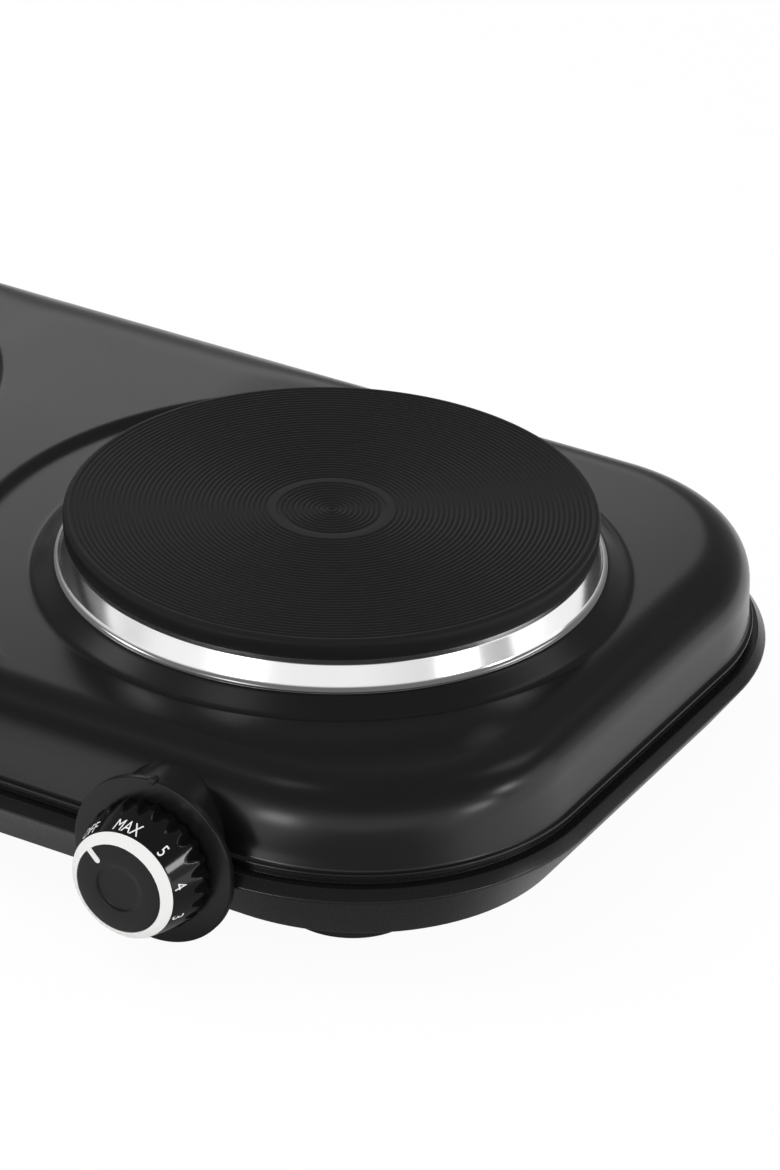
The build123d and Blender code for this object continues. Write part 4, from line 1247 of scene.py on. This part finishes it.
def floor_finish(studio):
    """White floor that keeps a soft shadow and, in mirrored surfaces, has painted shade towards the camera."""
    finish = bpy.data.materials.new("studio_floor")
    finish.use_nodes = True
    tree = finish.node_tree
    tree.nodes.clear()
    camera, glossy, mirror = ray_kinds(tree)
    heading = node(tree, "ShaderNodeTexCoord").outputs["Object"]
    for operation, operand in (("SUBTRACT", (BURNER["right"].x, BURNER["right"].y, 0)), ("NORMALIZE", None),
                               ("DOT_PRODUCT", FLOOR_HEADING)):
        feeds = {0: heading} if operand is None else {0: heading, 1: operand}
        made = node(tree, "ShaderNodeVectorMath", feeds, operation=operation)
        heading = made.outputs["Value" if operation == "DOT_PRODUCT" else "Vector"]
    # painted shade: the floor's colour, as seen in mirrored surfaces only, is darkened towards the camera
    shade = smooth_step(tree, heading, *FLOOR_FADE, FLOOR_TONE, FLOOR_PAINTED_SHADE)
    tone = node(tree, "ShaderNodeMix", {0: glossy, 2: FLOOR_TONE, 3: shade}, data_type="FLOAT")
    plain = node(tree, "ShaderNodeBsdfDiffuse", {"Color": tone.outputs[0]})
    glow = node(tree, "ShaderNodeEmission", {"Strength": 1.0})
    white = (camera * (1.0 - studio.shadow)).do("MAXIMUM", mirror * FLOOR_MIRROR)
    mix = node(tree, "ShaderNodeMixShader", {0: white, 1: plain.outputs[0], 2: glow.outputs[0]})
    node(tree, "ShaderNodeOutputMaterial", {"Surface": mix.outputs[0]})
    return finish


WORLD_HALF = 0.36  # sine of the elevation where the mirrored surroundings are half as bright
WORLD_SIDE, WORLD_BACK, WORLD_BEHIND = 0.6, 0.55, 0.3  # mirrored level at the sides, its loss and least behind
WORLD_LEAST = 0.15  # mirrored level overhead


def studio_world(studio):
    """White surroundings: even for the camera, in mirrored surfaces dimmer overhead and behind, plain as light."""
    world = bpy.data.worlds.new("studio")
    world.use_nodes = True
    tree = world.node_tree
    heading = node(tree, "ShaderNodeSeparateXYZ", {0: node(tree, "ShaderNodeTexCoord").outputs["Generated"]})
    behind, above = (Number(tree, heading.outputs[axis]) for axis in (1, 2))
    fall = 1.0 / (((above - WORLD_HALF) * studio.fade).do("EXPONENT") + 1.0)
    dim = (WORLD_SIDE - behind * WORLD_BACK).do("MAXIMUM", WORLD_BEHIND).do("MINIMUM", 1.0)
    camera, _, mirror = ray_kinds(tree)
    level = node(tree, "ShaderNodeMix", {0: mirror, 2: studio.world, 3: (fall * dim).do("MAXIMUM", WORLD_LEAST)},
                 data_type="FLOAT")
    shine = tree.nodes["Background"]
    feed(tree, shine.inputs["Color"], (1, 1, 1, 1))
    feed(tree, shine.inputs["Strength"], camera.do("MAXIMUM", level.outputs[0]))
    return world


LAMP_AIM = Vector((0.1, 0.0, 0.05))  # on the body, towards the photographed burner


def soft_box(name, turn, rise, width, height, power, mirrored=True, reach=1.6):
    """Rectangular soft light, placed by its bearing from behind and its elevation in degrees."""
    turn, rise = math.radians(turn), math.radians(rise)
    away = Vector((math.sin(turn) * math.cos(rise), math.cos(turn) * math.cos(rise), math.sin(rise)))
    lamp = bpy.data.lights.new(name, "AREA")
    lamp.shape = "RECTANGLE"
    lamp.size, lamp.size_y = width, height
    lamp.energy = power
    holder = put(name, lamp)
    holder.location = LAMP_AIM + away * reach
    holder.rotation_mode = "QUATERNION"
    holder.rotation_quaternion = (-away).to_track_quat("-Z", "Y")
    holder.visible_glossy = mirrored


CAMERA_PLACE = Vector((0.987145, -1.462299, 1.012387))
CAMERA_TURN = (29.5146, 29.1720, 1.4164)  # azimuth, elevation and roll in degrees
FOCAL_PIXELS, PHOTO_HEIGHT, SENSOR = 5642.96, 1170.0, 36.0


def photo_camera():
    """Long lens at the photographed angle."""
    azimuth, elevation, roll = (math.radians(angle) for angle in CAMERA_TURN)
    back = Vector((math.sin(azimuth) * math.cos(elevation), -math.cos(azimuth) * math.cos(elevation),
                   math.sin(elevation)))
    right = (-back).cross(Vector((0, 0, 1))).normalized()
    up = right.cross(-back)
    side = right * math.cos(roll) + up * math.sin(roll)
    top = up * math.cos(roll) - right * math.sin(roll)
    lens = bpy.data.cameras.new("photo_camera")
    lens.sensor_width = SENSOR
    lens.lens = FOCAL_PIXELS / PHOTO_HEIGHT * SENSOR
    lens.clip_start, lens.clip_end = 0.05, 20.0
    camera = put("photo_camera", lens)
    camera.matrix_world = Matrix.Translation(CAMERA_PLACE) @ Matrix((side, top, back)).transposed().to_4x4()
    bpy.context.scene.camera = camera


class HOTPLATE_OT_make_stage(bpy.types.Operator):
    """Set the floor, soft lights and camera"""
    bl_idname = "hotplate.make_stage"
    bl_label = "Stage"

    def execute(self, context):
        studio, scene = settings("studio"), context.scene
        mesh = bpy.data.meshes.new("floor")
        reach, level = 5.0, -0.0002
        mesh.from_pydata([(x * reach, y * reach, level) for x, y in ((-1, -1), (1, -1), (1, 1), (-1, 1))], [],
                         [(0, 1, 2, 3)])
        mesh.materials.append(floor_finish(studio))
        floor = put("floor", mesh)
        scene.world = studio_world(studio)
        soft_box("key", -102, 58, 1.0, 1.0, studio.key, mirrored=False)
        soft_box("fill", 113, 33, 0.8, 0.8, studio.fill, mirrored=False)
        soft_box("right", 60, 9, 0.80, 0.74, studio.right)
        soft_box("spot", 78, 19, 0.26, 0.26, studio.spot)
        soft_box("left", -105, 44, 0.45, 0.34, studio.left)
        soft_box("back", -34, 24, 0.80, 0.36, studio.back)
        soft_box("rear", 38, 48, 0.34, 0.50, studio.rear)
        soft_box("top", -142, 68, 0.34, 0.34, studio.top)
        soft_box("front_left", -176, 5, 0.36, 0.26, studio.front, reach=1.3)
        soft_box("front_right", 98, 5, 0.30, 0.22, 0.6 * studio.front, reach=1.3)
        scene.view_settings.view_transform = "Standard"
        photo_camera()
        return {"FINISHED"}


class HOTPLATE_PT_pieces(bpy.types.Panel):
    """Pieces of the hot plate and their settings"""
    bl_label = "Hot plate"
    bl_space_type = "VIEW_3D"
    bl_region_type = "UI"
    bl_category = "Hot plate"

    def draw(self, context):
        for operator in OPERATORS:
            self.layout.operator(operator.bl_idname)
        for name in GROUPS:
            box = self.layout.box()
            box.label(text=name.capitalize())
            group = settings(name)
            for key in group.__class__.__annotations__:
                box.prop(group, key)


GROUPS = {"housing": HotPlateHousing, "pan": HotPlatePan, "plates": HotPlatePlates, "controls": HotPlateControls,
          "finishes": HotPlateFinishes, "studio": HotPlateStudio}
OPERATORS = (HOTPLATE_OT_make_housing, HOTPLATE_OT_make_pan, HOTPLATE_OT_make_plates, HOTPLATE_OT_make_trim_rings,
             HOTPLATE_OT_make_bezels, HOTPLATE_OT_make_knobs, HOTPLATE_OT_make_marks, HOTPLATE_OT_make_feet,
             HOTPLATE_OT_make_screws, HOTPLATE_OT_make_gland, HOTPLATE_OT_dress_inner, HOTPLATE_OT_make_stage)


def register():
    for group in GROUPS.values():
        bpy.utils.register_class(group)
    for operator in OPERATORS:
        bpy.utils.register_class(operator)
    bpy.utils.register_class(HOTPLATE_PT_pieces)
    for name, group in GROUPS.items():
        setattr(bpy.types.Scene, "hot_plate_" + name, PointerProperty(type=group))


def unregister():
    for name in GROUPS:
        delattr(bpy.types.Scene, "hot_plate_" + name)
    bpy.utils.unregister_class(HOTPLATE_PT_pieces)
    for operator in reversed(OPERATORS):
        bpy.utils.unregister_class(operator)
    for group in reversed(list(GROUPS.values())):
        bpy.utils.unregister_class(group)


def main():
    register()
    for operator in OPERATORS:
        family, name = operator.bl_idname.split(".")
        getattr(getattr(bpy.ops, family), name)()


if __name__ == "__main__":
    main()
